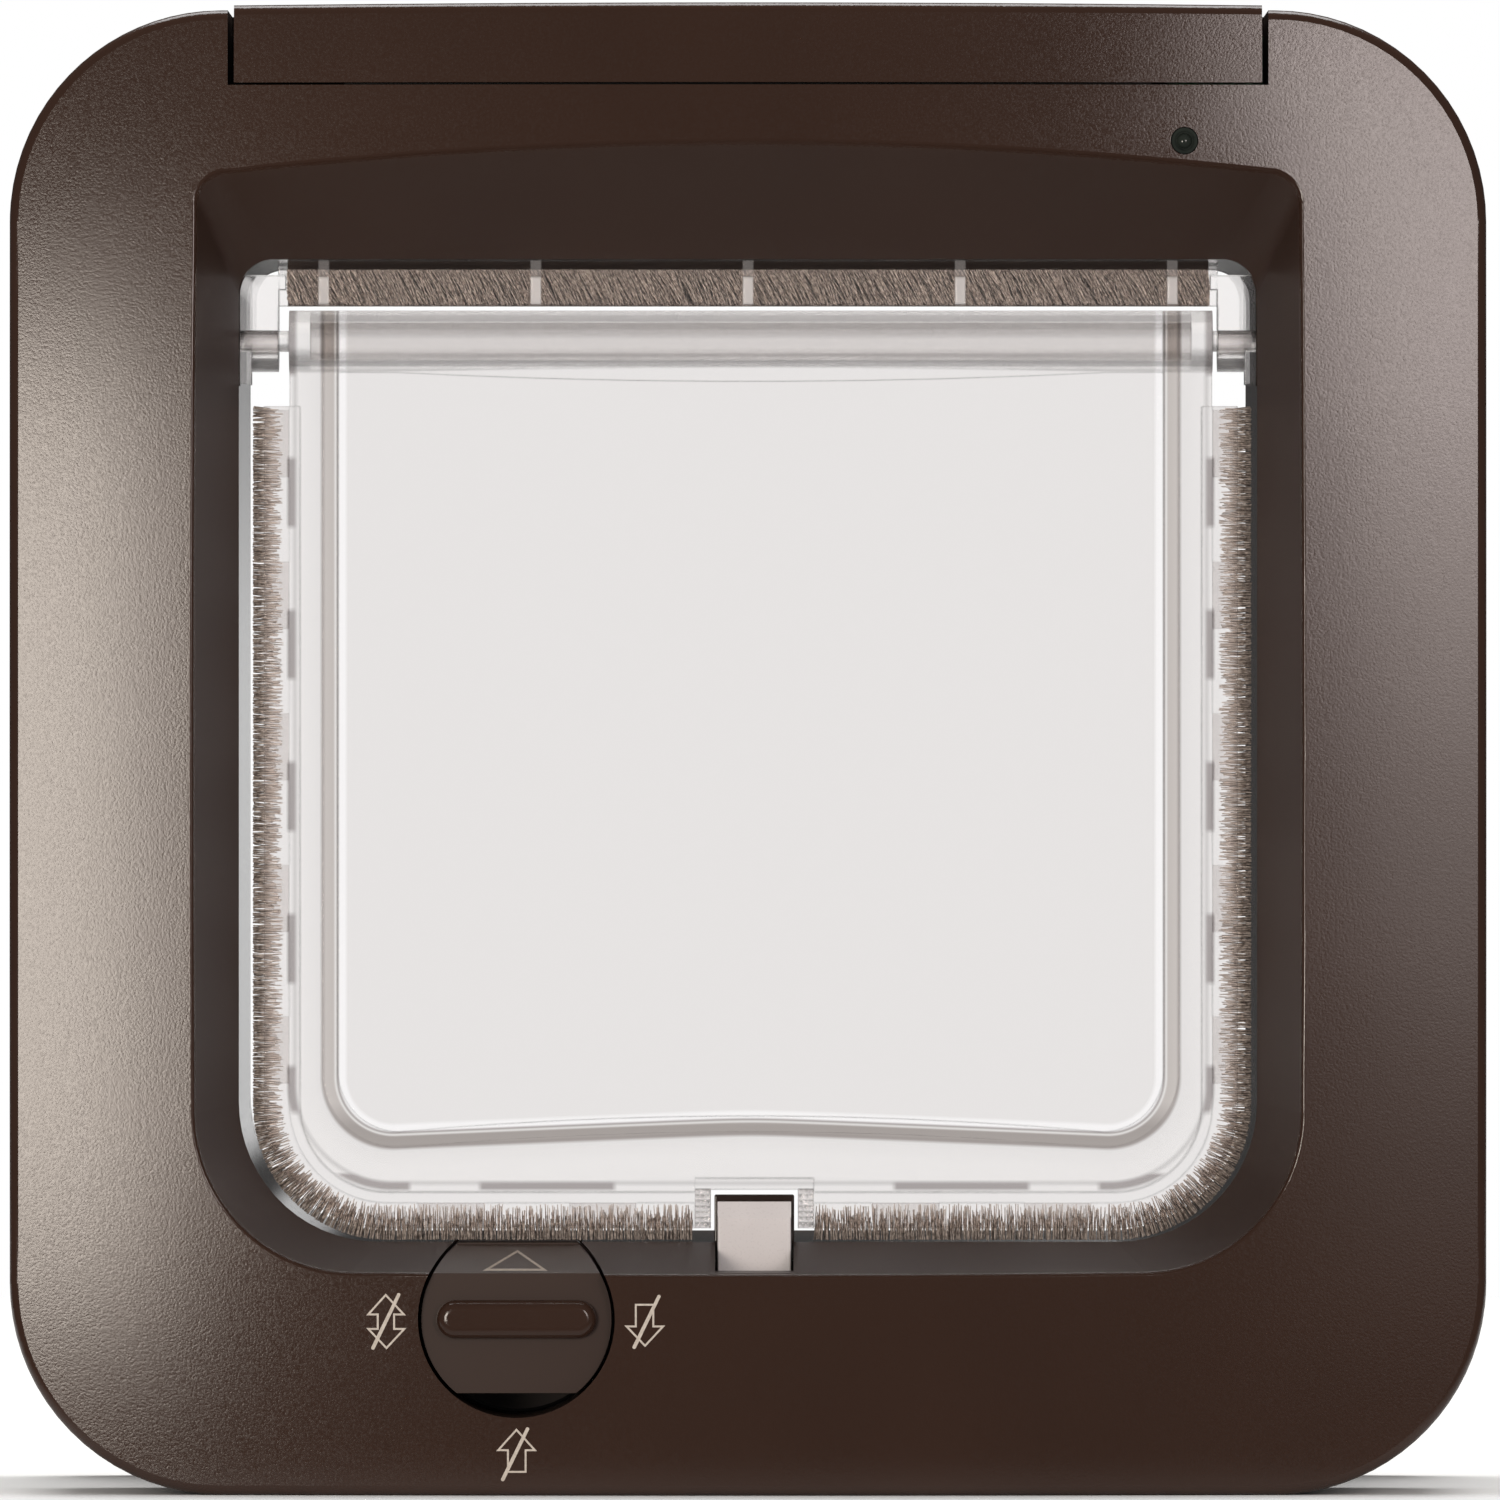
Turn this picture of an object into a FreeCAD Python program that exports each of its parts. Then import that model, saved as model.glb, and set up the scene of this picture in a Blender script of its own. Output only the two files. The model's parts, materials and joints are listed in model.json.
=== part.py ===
"""Microchip cat flap for a 44 mm door, modelled shut and unlocked.

Millimetres. Z is up, X is to the right as seen from the room, and Y runs through the door from
the room to the street. The origin is the centre of the hole in the door, on the door's inner face,
so the room unit lies at negative Y and the street frame beyond the door's thickness.
"""
import FreeCAD, Part
import math
import os

V = FreeCAD.Vector

# Frame mouldings: one outline for the room side and the street side
FRAME_W = 210.0
FRAME_H = 211.0
FRAME_CORNER_R = 30.0
WALL = 2.5
EDGE_ROUND = 1.4
CROWN_R = 1105.0          # radius of the faces' crown from side to side
RISE_R = 3300.0           # radius of their much flatter crown from top to bottom
ROOM_DEPTH = 36.0         # door face to the top of the room side's crown
STREET_DEPTH = 14.0       # door face to the top of the street side's crown

# Door and its hole, which the frames overlap all round
DOOR_T = 44.0
OVERLAP_X = 22.5
OVERLAP_Z = 20.0
CUTOUT_H = FRAME_H - 2 * OVERLAP_Z
CUTOUT_W = FRAME_W - 2 * OVERLAP_X

# Tunnel mouth, which is the clear opening, and the recess that leads to it
SIDE_BORDER = 32.3        # from the frame's edge to the mouth
TOP_BORDER = 35.05
BOTTOM_BORDER = 35.6
MOUTH_W = FRAME_W - 2 * SIDE_BORDER
MOUTH_BOTTOM = BOTTOM_BORDER - FRAME_H / 2
MOUTH_TOP = FRAME_H / 2 - TOP_BORDER
MOUTH_BOTTOM_R = 20.0
MOUTH_TOP_R = 5.0
MOUTH_Y = -17.0
RECESS_FLARE = 7.3        # how far the sides open out up to the top of the crown
RECESS_DROP = 4.6
RECESS_RISE = 15.2
RECESS_ARCH = 2.4
RECESS_BOTTOM_R = 22.9
RECESS_TOP_R = 4.2
RECESS_EDGE_ROUND = 0.5
MOUTH_EDGE_ROUND = 0.8

# Rear housing and the tunnel that plugs into it
PLATE_T = 2.5
PLATE_GAP = 0.15
DUCT_REACH = 2.0          # how far the tunnel enters the street frame
LAP_L = 2.3               # how far the tunnel's lip enters the back plate
LAP_T = 1.15
LAP_FIT = 0.1
TUNNEL_SINK = 0.8         # how deep the tunnel's wall is let into the back plate's face
POST_R = 3.5
HOUSING_SCREW_R = 1.4
HOUSING_HEAD_R = 2.8
HOUSING_HEAD_T = 1.3
HEAD_SINK = 0.1           # how far the heads lie below the back plate
HEAD_ROUND = 0.35         # shares of a screw's head or shank: rim, point, and the cross recess
POINT_SHARE = 0.3
CROSS_SPAN = 1.1
CROSS_DEPTH = 0.45
CROSS_ARM = 0.28
HOUSING_SCREW_L = 11.0
THREAD_FIT = 0.03         # between any screw and the post that it holds in
POST_INSET = 17.0         # posts of the upper and middle screws, from the frame's side edges
HIGH_POST_INSET = 27.5    # and from its top edge
LOW_POST_INSET = 19.5
FOOT_POST_GAP = 7.6       # the lowest pair, beside the dial's well
FOOT_POST_INSET = 10.5

# Cells, their contacts and the tray
CELL_R = 7.25
CELL_BODY_L = 49.5
CELL_NUB_R = 2.6
CELL_NUB_L = 1.0
CELL_ROUND = 0.6
CELL_PITCH = 15.0         # between the axes of the two rows
CELL_SETBACK = 18.4       # front row's axis from the top of the room side's crown
CELL_DROP = 23.6          # back row's axis from the frame's top edge
DIVIDER_T = 2.0
SPRING_L = 3.8
SPRING_R = 3.0
SPRING_WIRE_R = 0.35
SPRING_TURNS = 2.5
CONTACT_T = 0.5
CONTACT_W = 8.7
CONTACT_GAP = 0.1
TRAY_FIT = 0.25
TRAY_WALL = 1.2
TRAY_GAP = 0.1
TRAY_DROP = 4.0
TRAY_R = CELL_R + TRAY_FIT
TRAY_TOP = FRAME_H / 2 - TRAY_DROP
CELL_START = DIVIDER_T / 2 + CONTACT_GAP + SPRING_L + CONTACT_GAP
CELL_END = CELL_START + CELL_BODY_L + CELL_NUB_L
TRAY_END = CELL_END + CONTACT_GAP + CONTACT_T + CONTACT_GAP
CELL_BACK = (-PLATE_T - TRAY_GAP - TRAY_WALL - TRAY_R, FRAME_H / 2 - CELL_DROP)
CELL_STAGGER = ROOM_DEPTH - CELL_SETBACK + CELL_BACK[0]
CELL_FRONT = (CELL_SETBACK - ROOM_DEPTH, CELL_BACK[1] + math.sqrt(CELL_PITCH ** 2 - CELL_STAGGER ** 2))

# Battery cover, wide enough for the tray with the light and the button beside it
COVER_BESIDE = 15.65
COVER_W = 2 * (TRAY_END + TRAY_WALL + COVER_BESIDE)
COVER_H = 10.3
COVER_LOW = FRAME_H / 2 - COVER_H
COVER_PROUD = 0.7         # the cover's ends stand this far above the frame
COVER_CROWN = 0.35
COVER_WALL = 2.0
COVER_SIDE_GAP = 0.9
COVER_LOW_GAP = 0.35
COVER_REAR = -3.1
COVER_CHEEK = 2.6

# Status light and learning button, on a small board behind the bay panel
BAY_PANEL_SETBACK = 10.0  # from the top of the room side's crown
BAY_PANEL_Y = BAY_PANEL_SETBACK - ROOM_DEPTH
BAY_PANEL_T = 1.5
BAY_PANEL_GAP = 0.9       # from the battery tray
BAY_PANEL_DROP = 13.2     # from the cover's lower edge
LIGHT_BESIDE = 4.6        # from the battery tray
LIGHT_DROP = 8.3          # from the cover's lower edge
LIGHT_X = TRAY_END + TRAY_WALL + LIGHT_BESIDE
LIGHT_Z = COVER_LOW - LIGHT_DROP
LIGHT_R = 1.85
LIGHT_LENS_R = 1.3
LENS_GROOVE = 0.6
LENS_SINK = 0.15
BUTTON_BESIDE = 10.1
BUTTON_RISE = 3.8
BUTTON_X = TRAY_END + TRAY_WALL + BUTTON_BESIDE
BUTTON_Z = COVER_LOW + BUTTON_RISE
BUTTON_R = 2.8
BUTTON_TRAVEL = 0.8
BUTTON_STEM_L = 4.0
BUTTON_ROUND = 0.6
SMALL_FIT = 0.12
SMALL_POST_R = 1.8
SMALL_POST_L = 4.5
SMALL_BOARD_Y = BAY_PANEL_Y + SMALL_POST_L
SMALL_BOARD_MARGIN = 2.2
SMALL_BOARD_W = 13.7
SMALL_BOARD_H = 19.6
BOARD_T = 1.6
SWITCH_W = 4.4
SWITCH_T = 0.6
EMITTER_L = 2.0
EMITTER_GAP = 0.3

# Main board in the right-hand side of the room unit, its chips placed along its half height
BOARD_GAP_IN = 4.8        # from the tunnel
BOARD_GAP_OUT = 6.0       # from the frame's edge
BOARD_DROP = 45.5
BOARD_X = (MOUTH_W / 2 + WALL + BOARD_GAP_IN, FRAME_W / 2 - BOARD_GAP_OUT)
BOARD_Z = (BOARD_DROP - FRAME_H / 2, FRAME_H / 2 - BOARD_DROP)
BOARD_POST_R = 2.5
BOARD_POST_L = 8.7
BOARD_Y = -PLATE_T - BOARD_POST_L - BOARD_T
BOARD_SCREW_R = 1.1
BOARD_SCREW_L = 7.0
BOARD_HEAD_R = 2.2
BOARD_HEAD_T = 1.4
BOARD_INSET = 3.0
CHIP_SINK = 0.3
CHIPS = (                 # from the inner edge, share of the half height, width, height, thickness
    (7.0, 0.13, 10.0, 10.0, 1.4),
    (11.0, -0.3, 8.0, 5.0, 1.3),
    (5.0, 0.53, 5.0, 8.0, 1.3),
    (12.5, -0.67, 7.0, 12.0, 5.0),
    (12.0, 0.67, 6.0, 15.0, 5.5),
)
CAPACITOR_IN = 4.5
CAPACITOR_R = 2.5
CAPACITOR_L = 7.0
CAPACITORS = (-0.53, -0.7)

# Hinge
PIVOT_Y = -12.0
PIVOT_DROP = 11.65        # from the top of the mouth
PIVOT_Z = MOUTH_TOP - PIVOT_DROP
PIN_R = 1.5
PIN_FIT = 0.05
PIN_END_GAP = 0.6
BARREL_R = 4.4
BARREL_BORE_R = 2.7
RAIL_DEPTH = 8.5
RAIL_FRONT = PIVOT_Y - BARREL_R
RAIL_REAR = RAIL_FRONT + RAIL_DEPTH
RAIL_T = 1.2
RAIL_GAP = 0.15
RAIL_OVER = 0.5           # gap between the barrel and the rail's lower edge
RAIL_BOTTOM = PIVOT_Z + BARREL_R + RAIL_OVER
RAIL_ARM_IN = 5.6         # the arms' faces, from the mouth's sides
RAIL_ARM_OUT = 1.7
RAIL_ARM_X = (MOUTH_W / 2 - RAIL_ARM_IN, MOUTH_W / 2 - RAIL_ARM_OUT)
RAIL_ARM_DROP = 2.25
RAIL_ARM_TOP = MOUTH_TOP - RAIL_ARM_DROP
RAIL_SEAT = 0.7           # how far the bearing blocks enter the tunnel's walls
RAIL_BLOCK_OUT = MOUTH_W / 2 + RAIL_SEAT
RAIL_BLOCK_DROP = 6.2
RAIL_BLOCK_BOTTOM = PIVOT_Z - RAIL_BLOCK_DROP
RAIL_BLOCK_WALL = 0.8
RAIL_SHOULDER_H = 2.0
RAIL_RIBS = 5
RAIL_RIB_INSET = 6.5
RAIL_RIB_PITCH = 2 * (RAIL_ARM_X[0] - RAIL_RIB_INSET) / (RAIL_RIBS - 1)
RAIL_RIB_W = 1.7
RAIL_RIB_H = 4.0
RAIL_RIB_T = 1.0
RAIL_RIB_LIFT = 0.3
RAIL_RIB_ROUND = 0.4
POCKET_FIT = 0.2
POCKET_IN = 4.0
TOP_PILE_LIFT = 0.2
TOP_PILE_TIP = RAIL_BOTTOM + TOP_PILE_LIFT
TOP_PILE_SIDE = 1.2
TOP_PILE_BACK = 0.6
TOP_PILE_GAP = 0.1

# Flap
FLAP_X = 0.4              # the flap hangs this far to one side of its end play
FLAP_SIDE_GAP = 3.1
FLAP_FLOOR_GAP = 1.9
FLAP_HALF_W = MOUTH_W / 2 - FLAP_SIDE_GAP
FLAP_BOTTOM = MOUTH_BOTTOM + FLAP_FLOOR_GAP
FLAP_CORNER_R = 17.6
FLAP_TOP_R = 1.0
FLANGE_H = 3.6            # depth of the channel that holds the pile
FLANGE_DROP = 9.3
FLANGE_TOP = PIVOT_Z - FLANGE_DROP
FLANGE_T = 1.2
RIM_HALF_T = 3.0
RIM_FRONT = PIVOT_Y - RIM_HALF_T
RIM_REAR = PIVOT_Y + RIM_HALF_T
WEB_T = 1.5
PANE_BACKSET = 0.4        # the plate's front behind the pivot, which hangs the flap upright
PLATE_FRONT = PIVOT_Y + PANE_BACKSET
PANE_T = 2.2
SIDE_TABS = 5
TAB_W = 9.6
TAB_TOP_GAP = 0.5
TAB_LOW_GAP = 7.8
TAB_Z0 = FLANGE_TOP - TAB_TOP_GAP - TAB_W / 2
TAB_PITCH = (TAB_Z0 - TAB_LOW_GAP - FLAP_CORNER_R - FLAP_BOTTOM) / (SIDE_TABS - 1)
WINDOW_MARGIN = 8.3
WINDOW_HALF_W = FLAP_HALF_W - WINDOW_MARGIN
WINDOW_RISE = 11.5
WINDOW_BOTTOM = FLAP_BOTTOM + WINDOW_RISE
WINDOW_DROP = 1.8
WINDOW_TOP = PIVOT_Z - WINDOW_DROP
WINDOW_R = 11.0
WINDOW_TOP_R = 3.0
WINDOW_MIN_R = 0.8
WINDOW_BOTTOM_ARCH = 2.3
WINDOW_TOP_ARCH = 1.7
WINDOW_STEP = 0.8         # how far the pane's edge stands out of the flap's plate
WINDOW_BULGE = 2.0
PILE_REACH = 1.3          # how far the brush stands past the flange
PILE_FIT = 0.2
PILE_SEAT = 0.05

# Latch under the flap, its cam and motor
LATCH_X = 0.9
LATCH_W = 10.5
LATCH_T = 3.1
LATCH_GAP = 0.3
LATCH_FRONT = MOUTH_Y - LATCH_GAP - LATCH_T
LATCH_RISE = 5.8
LATCH_TOP = MOUTH_BOTTOM + LATCH_RISE
LATCH_CHAMFER_H = 2.3
LATCH_CHAMFER_T = 1.6
LATCH_ROUND = 0.3
LATCH_FOOT_W = 2.4
LATCH_FIT = 0.35
LATCH_LIFT = 3.5
CHANNEL_DEPTH = 4.0
CHANNEL_FLOOR = MOUTH_BOTTOM - CHANNEL_DEPTH
GUIDE_WALL = 1.6
GUIDE_DEPTH = 10.1
GUIDE_BOTTOM = MOUTH_BOTTOM - GUIDE_DEPTH
LATCH_SPARE = 0.5
LATCH_BODY_BOTTOM = GUIDE_BOTTOM - LATCH_LIFT - LATCH_SPARE
NOTCH_W = 12.4
NOTCH_OVER = 1.6
NOTCH_TOP = LATCH_TOP + NOTCH_OVER
NOTCH_BLOCK = 2.3
NOTCH_ROOF = 1.6
CAM_LOW_R = 3.5
CAM_TURN = 120.0
CAM_DWELL_END = 290.0     # angles where the cam's high part ends and where it is low again
CAM_DROP_END = 320.0
CAM_GAP = 0.3
CAM_T = 3.0
CAM_HUB_R = 2.3
CAM_HUB_GAP = 0.4
SHAFT_R = 1.0
SHAFT_FIT = 0.03
SHAFT_IN = 6.0
MOTOR_R = 8.0
MOTOR_L = 12.0
MOTOR_GAP = 0.1
MOTOR_FRONT = -PLATE_T - MOTOR_GAP - MOTOR_L
MOTOR_BEARING_R = 1.9
MOTOR_BEARING_L = 0.3
GEARBOX_L = 5.0
CAN_STEP = 0.5
TAG_W = 1.2
TAG_X = 2.5
TAG_H = 2.0
CRADLE_FIT = 0.2
CRADLE_WALL = 1.4
CRADLE_L = 7.0
CRADLE_GAP = 0.4
CAM_Z = WALL + CRADLE_GAP + CRADLE_WALL + CRADLE_FIT + MOTOR_R - FRAME_H / 2

# Four-way lock dial
DIAL_X = -32.9
DIAL_INSET = 25.0
DIAL_Z = DIAL_INSET - FRAME_H / 2
DIAL_R = 13.5
DIAL_WELL_R = 14.0
DIAL_WELL_WALL = 1.8
FOOT_POST_X = DIAL_WELL_R - DIAL_X + FOOT_POST_GAP + POST_R
HOUSING_POSTS = (
    (POST_INSET - FRAME_W / 2, FRAME_H / 2 - HIGH_POST_INSET),
    (FRAME_W / 2 - POST_INSET, FRAME_H / 2 - HIGH_POST_INSET),
    (POST_INSET - FRAME_W / 2, LOW_POST_INSET - FRAME_H / 2),
    (FRAME_W / 2 - POST_INSET, LOW_POST_INSET - FRAME_H / 2),
    (-FOOT_POST_X, FOOT_POST_INSET - FRAME_H / 2),
    (FOOT_POST_X, FOOT_POST_INSET - FRAME_H / 2),
)
DIAL_FLAT = 10.5
DIAL_SETBACK = 3.6
DIAL_FRONT = DIAL_SETBACK - ROOM_DEPTH
DIAL_FREE_FRONT = 1.5     # from the flap's rim to the front lobe
DIAL_FREE_REAR = 1.7
DIAL_NECK_FRONT = RIM_FRONT - DIAL_FREE_FRONT
DIAL_NECK_REAR = RIM_REAR + DIAL_FREE_REAR
DIAL_NECK_R = 9.5
DIAL_END_GAP = 0.3
DIAL_REAR = -PLATE_T - DIAL_END_GAP
DIAL_SLOPE_GAP = 0.35
GRIP_L = 22.7
GRIP_W = 5.4
GRIP_H = 2.2
JOURNAL_R = 4.0
JOURNAL_FIT = 0.05
WASHER_SINK = 1.2         # depth of the washer's seat in the back plate
DIAL_END_PLAY = 0.25
JOURNAL_END = DIAL_END_PLAY - WASHER_SINK
WASHER_FIT = 0.2
DIAL_SCREW_R = 1.5
DIAL_SCREW_L = 9.0
DIAL_WASHER_R = 5.6
DIAL_WASHER_T = 0.8
DIAL_HEAD_R = 3.0
DIAL_HEAD_T = 1.6

# Reader coil round the tunnel
COIL_L = 10.0
COIL_Y = DOOR_T / 2
COIL_T = 2.0
COIL_GAP = 0.1
COIL_RIB_H = 2.3
COIL_RIB_T = 1.4
COIL_COVER_T = 1.0

# Screws through the door's hole, with their bosses inside it
SCREW_IN = 2.7            # from the mouth's sides
SCREW_INSET = 6.5         # from the hole's top and bottom
SCREW_X = MOUTH_W / 2 - SCREW_IN
SCREW_Z = CUTOUT_H / 2 - SCREW_INSET
SCREW_R = 1.9
SCREW_FIT = 0.25
SCREW_TIP = 4.0
SCREW_END_GAP = 1.5
SCREW_SINK = 4.4
SCREW_SEAT = DOOR_T + SCREW_SINK
SCREW_HEAD_R = 3.7
SCREW_HEAD_T = 2.6
SCREW_BOSS_R = 4.2
SCREW_BOSS_END = 16.0
STREET_BOSS_R = 4.7
STREET_BOSS_L = 6.0       # how far the street frame's bosses reach into the hole
STREET_BOSS_START = DOOR_T - STREET_BOSS_L
CAP_R = 4.0
CAP_FIT = 0.1
CAP_T = 1.7
CAP_PROUD = 0.3
CAP_ROUND = 0.6
COLLAR_FIT = 0.25
COLLAR_WALL = 2.0
COLLAR_L = 7.0
COLLAR_START = DOOR_T - COLLAR_L

NEAR = 0.01               # how close two places count as one
BIG = 400.0
if max(SCREW_X + STREET_BOSS_R, MOUTH_W / 2 + WALL + COLLAR_FIT + COLLAR_WALL) > CUTOUT_W / 2:
    raise ValueError("the tunnel and its screws are wider than the hole in the door")


def box(x0, x1, y0, y1, z0, z1):
    """A block between two corners."""
    return Part.makeBox(x1 - x0, y1 - y0, z1 - z0, V(x0, y0, z0))


def rod_y(x, z, radius, y0, y1):
    """A cylinder through the door's thickness."""
    return Part.makeCylinder(radius, y1 - y0, V(x, y0, z), V(0, 1, 0))


def rod_x(y, z, radius, x0, x1):
    """A cylinder across the width."""
    return Part.makeCylinder(radius, x1 - x0, V(x0, y, z), V(1, 0, 0))


def outline(half_w, low, high, low_r, high_r, y, x=0.0, low_arch=0.0, high_arch=0.0):
    """A closed wire in the plane of the door, with round corners and top and bottom edges that may arch."""
    def corner(cx, cz, radius, start):
        points = [V(cx + radius * math.cos(math.radians(start + step)), y,
                    cz + radius * math.sin(math.radians(start + step))) for step in (0, 45, 90)]
        return Part.Arc(*points).toShape()

    def edge(start, end, arch):
        if not arch:
            return Part.makeLine(start, end)
        middle = (start + end) * 0.5 + V(0, 0, arch)
        return Part.Arc(start, middle, end).toShape()

    left, right = x - half_w, x + half_w
    edges = [
        edge(V(left + low_r, y, low), V(right - low_r, y, low), low_arch),
        corner(right - low_r, low + low_r, low_r, -90),
        edge(V(right, y, low + low_r), V(right, y, high - high_r), 0),
        corner(right - high_r, high - high_r, high_r, 0),
        edge(V(right - high_r, y, high), V(left + high_r, y, high), high_arch),
        corner(left + high_r, high - high_r, high_r, 90),
        edge(V(left, y, high - high_r), V(left, y, low + low_r), 0),
        corner(left + low_r, low + low_r, low_r, 180),
    ]
    return Part.Wire(edges)


def plate(wire, length):
    """The wire filled and extruded along Y."""
    return Part.Face(wire).extrude(V(0, length, 0))


def frame_block(inset, y0, y1):
    """The frame's outline, moved in by an inset, between two depths."""
    radius = FRAME_CORNER_R - inset
    half_h = FRAME_H / 2 - inset
    wire = outline(FRAME_W / 2 - inset, -half_h, half_h, radius, radius, y0)
    return plate(wire, y1 - y0)


def mouth_block(grow, y0, y1):
    """The tunnel's outline, moved out by a distance, between two depths."""
    wire = outline(MOUTH_W / 2 + grow, MOUTH_BOTTOM - grow, MOUTH_TOP + grow,
                   MOUTH_BOTTOM_R + grow, MOUTH_TOP_R + grow, y0)
    return plate(wire, y1 - y0)


def recess_block(grow):
    """The funnel from the tunnel mouth out to the top of the room side's crown."""
    mouth = outline(MOUTH_W / 2 + grow, MOUTH_BOTTOM - grow, MOUTH_TOP + grow,
                    MOUTH_BOTTOM_R + grow, MOUTH_TOP_R + grow, MOUTH_Y)
    rim = outline(MOUTH_W / 2 + RECESS_FLARE + grow, MOUTH_BOTTOM - RECESS_DROP - grow,
                  MOUTH_TOP + RECESS_RISE + grow, RECESS_BOTTOM_R + grow, RECESS_TOP_R + grow,
                  -ROOM_DEPTH, high_arch=RECESS_ARCH)
    return Part.makeLoft([mouth, rim], True, True)


def crown_block(inset, facing, apex):
    """A block whose front is a crowned face, moved in by an inset. Facing is -1 to the room side."""
    reach = FRAME_W
    radius = CROWN_R - inset
    front = apex - facing * inset
    sag = radius - math.sqrt(radius ** 2 - reach ** 2)
    ends = [V(-reach, front - facing * sag, 0), V(reach, front - facing * sag, 0)]
    arc = Part.Arc(ends[0], V(0, front, 0), ends[1]).toShape()
    back = apex - facing * reach
    corners = [ends[1], V(reach, back, 0), V(-reach, back, 0), ends[0]]
    lines = [Part.makeLine(corners[k], corners[k + 1]) for k in range(3)]
    half_turn = math.degrees(FRAME_H / RISE_R)
    profile = Part.Face(Part.Wire([arc] + lines))
    axis = V(0, apex - facing * RISE_R, 0)
    profile.rotate(axis, V(1, 0, 0), -half_turn)
    return profile.revolve(axis, V(1, 0, 0), 2 * half_turn)


def room_crown(inset):
    """Everything behind the room face, or behind a surface that lies in from it."""
    return crown_block(inset, -1, -ROOM_DEPTH)


def street_crown(inset):
    """Everything behind the street face, or behind a surface that lies in from it."""
    return crown_block(inset, 1, DOOR_T + STREET_DEPTH)


def crown_sag(x, z):
    """How far a crowned face has fallen back at a place on it."""
    across = RISE_R - CROWN_R + math.sqrt(CROWN_R ** 2 - x * x)
    return RISE_R - math.sqrt(across ** 2 - z * z)


def room_face_y(x, z):
    """Depth of the room face at a place on it."""
    return crown_sag(x, z) - ROOM_DEPTH


def street_face_y(x, z):
    """Depth of the street face at a place on it."""
    return DOOR_T + STREET_DEPTH - crown_sag(x, z)


def face_edges(shape, face_y):
    """Edges that lie on a crowned face, such as its rim."""
    found = []
    for edge in shape.Edges:
        length = edge.LastParameter - edge.FirstParameter
        spots = [edge.valueAt(edge.FirstParameter + share * length) for share in (0.0, 0.5, 1.0)]
        if all(abs(spot.y - face_y(spot.x, spot.z)) < NEAR for spot in spots):
            found.append(edge)
    return found


def crowned_frame(y_back, y_front, crown, face_y):
    """A solid of the frame's outline under a crowned face, with the face's edge rounded."""
    solid = frame_block(0, min(y_back, y_front), max(y_back, y_front)).common(crown)
    return solid.makeFillet(EDGE_ROUND, face_edges(solid, face_y))


def merged(shape):
    """One solid with its coplanar faces joined."""
    return shape.removeSplitter()


def bay_opening():
    """The space in the top edge that the battery cover fills, with its gaps."""
    half = COVER_W / 2 + COVER_SIDE_GAP
    return box(-half, half, -ROOM_DEPTH - 1, COVER_REAR + COVER_LOW_GAP, COVER_LOW - COVER_LOW_GAP,
               FRAME_H / 2 + 1)


def bay_walls(side):
    """End wall of the battery bay and the panel beside the tray, on one side."""
    end = COVER_W / 2 + COVER_SIDE_GAP
    wall = box(end, end + BAY_PANEL_T, -ROOM_DEPTH, -PLATE_T, COVER_LOW - WALL, FRAME_H / 2 - 1)
    panel = box(TRAY_END + TRAY_WALL + BAY_PANEL_GAP, end + BAY_PANEL_T, BAY_PANEL_Y,
                BAY_PANEL_Y + BAY_PANEL_T, COVER_LOW - BAY_PANEL_DROP, FRAME_H / 2 - WALL)
    both = wall.fuse(panel)
    if side < 0:
        both = both.mirror(V(0, 0, 0), V(1, 0, 0))
    return both


def latch_guide():
    """Block under the recess that holds the latch's channel and sleeve."""
    half = LATCH_W / 2 + LATCH_FIT + GUIDE_WALL
    duct_floor = MOUTH_BOTTOM - WALL
    x0, x1 = LATCH_X - half, LATCH_X + half
    upper = box(x0, x1, -ROOM_DEPTH, MOUTH_Y, duct_floor - PLATE_GAP, MOUTH_BOTTOM)
    lower = box(x0, x1, LATCH_FRONT - LATCH_FIT - GUIDE_WALL, MOUTH_Y + GUIDE_WALL, GUIDE_BOTTOM,
                duct_floor - PLATE_GAP)
    floor = box(x0, x1, -ROOM_DEPTH, MOUTH_Y, CHANNEL_FLOOR - GUIDE_WALL, duct_floor)
    return upper.fuse([lower, floor])


def latch_space():
    """The open channel in front of the latch and the sleeve that it slides in."""
    half = LATCH_W / 2 + LATCH_FIT
    x0, x1 = LATCH_X - half, LATCH_X + half
    channel = box(x0, x1, -ROOM_DEPTH - 1, MOUTH_Y, CHANNEL_FLOOR, MOUTH_BOTTOM + 1)
    sleeve = box(x0, x1, LATCH_FRONT - LATCH_FIT, MOUTH_Y, GUIDE_BOTTOM - 1, CHANNEL_FLOOR)
    return channel.fuse(sleeve)


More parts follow.
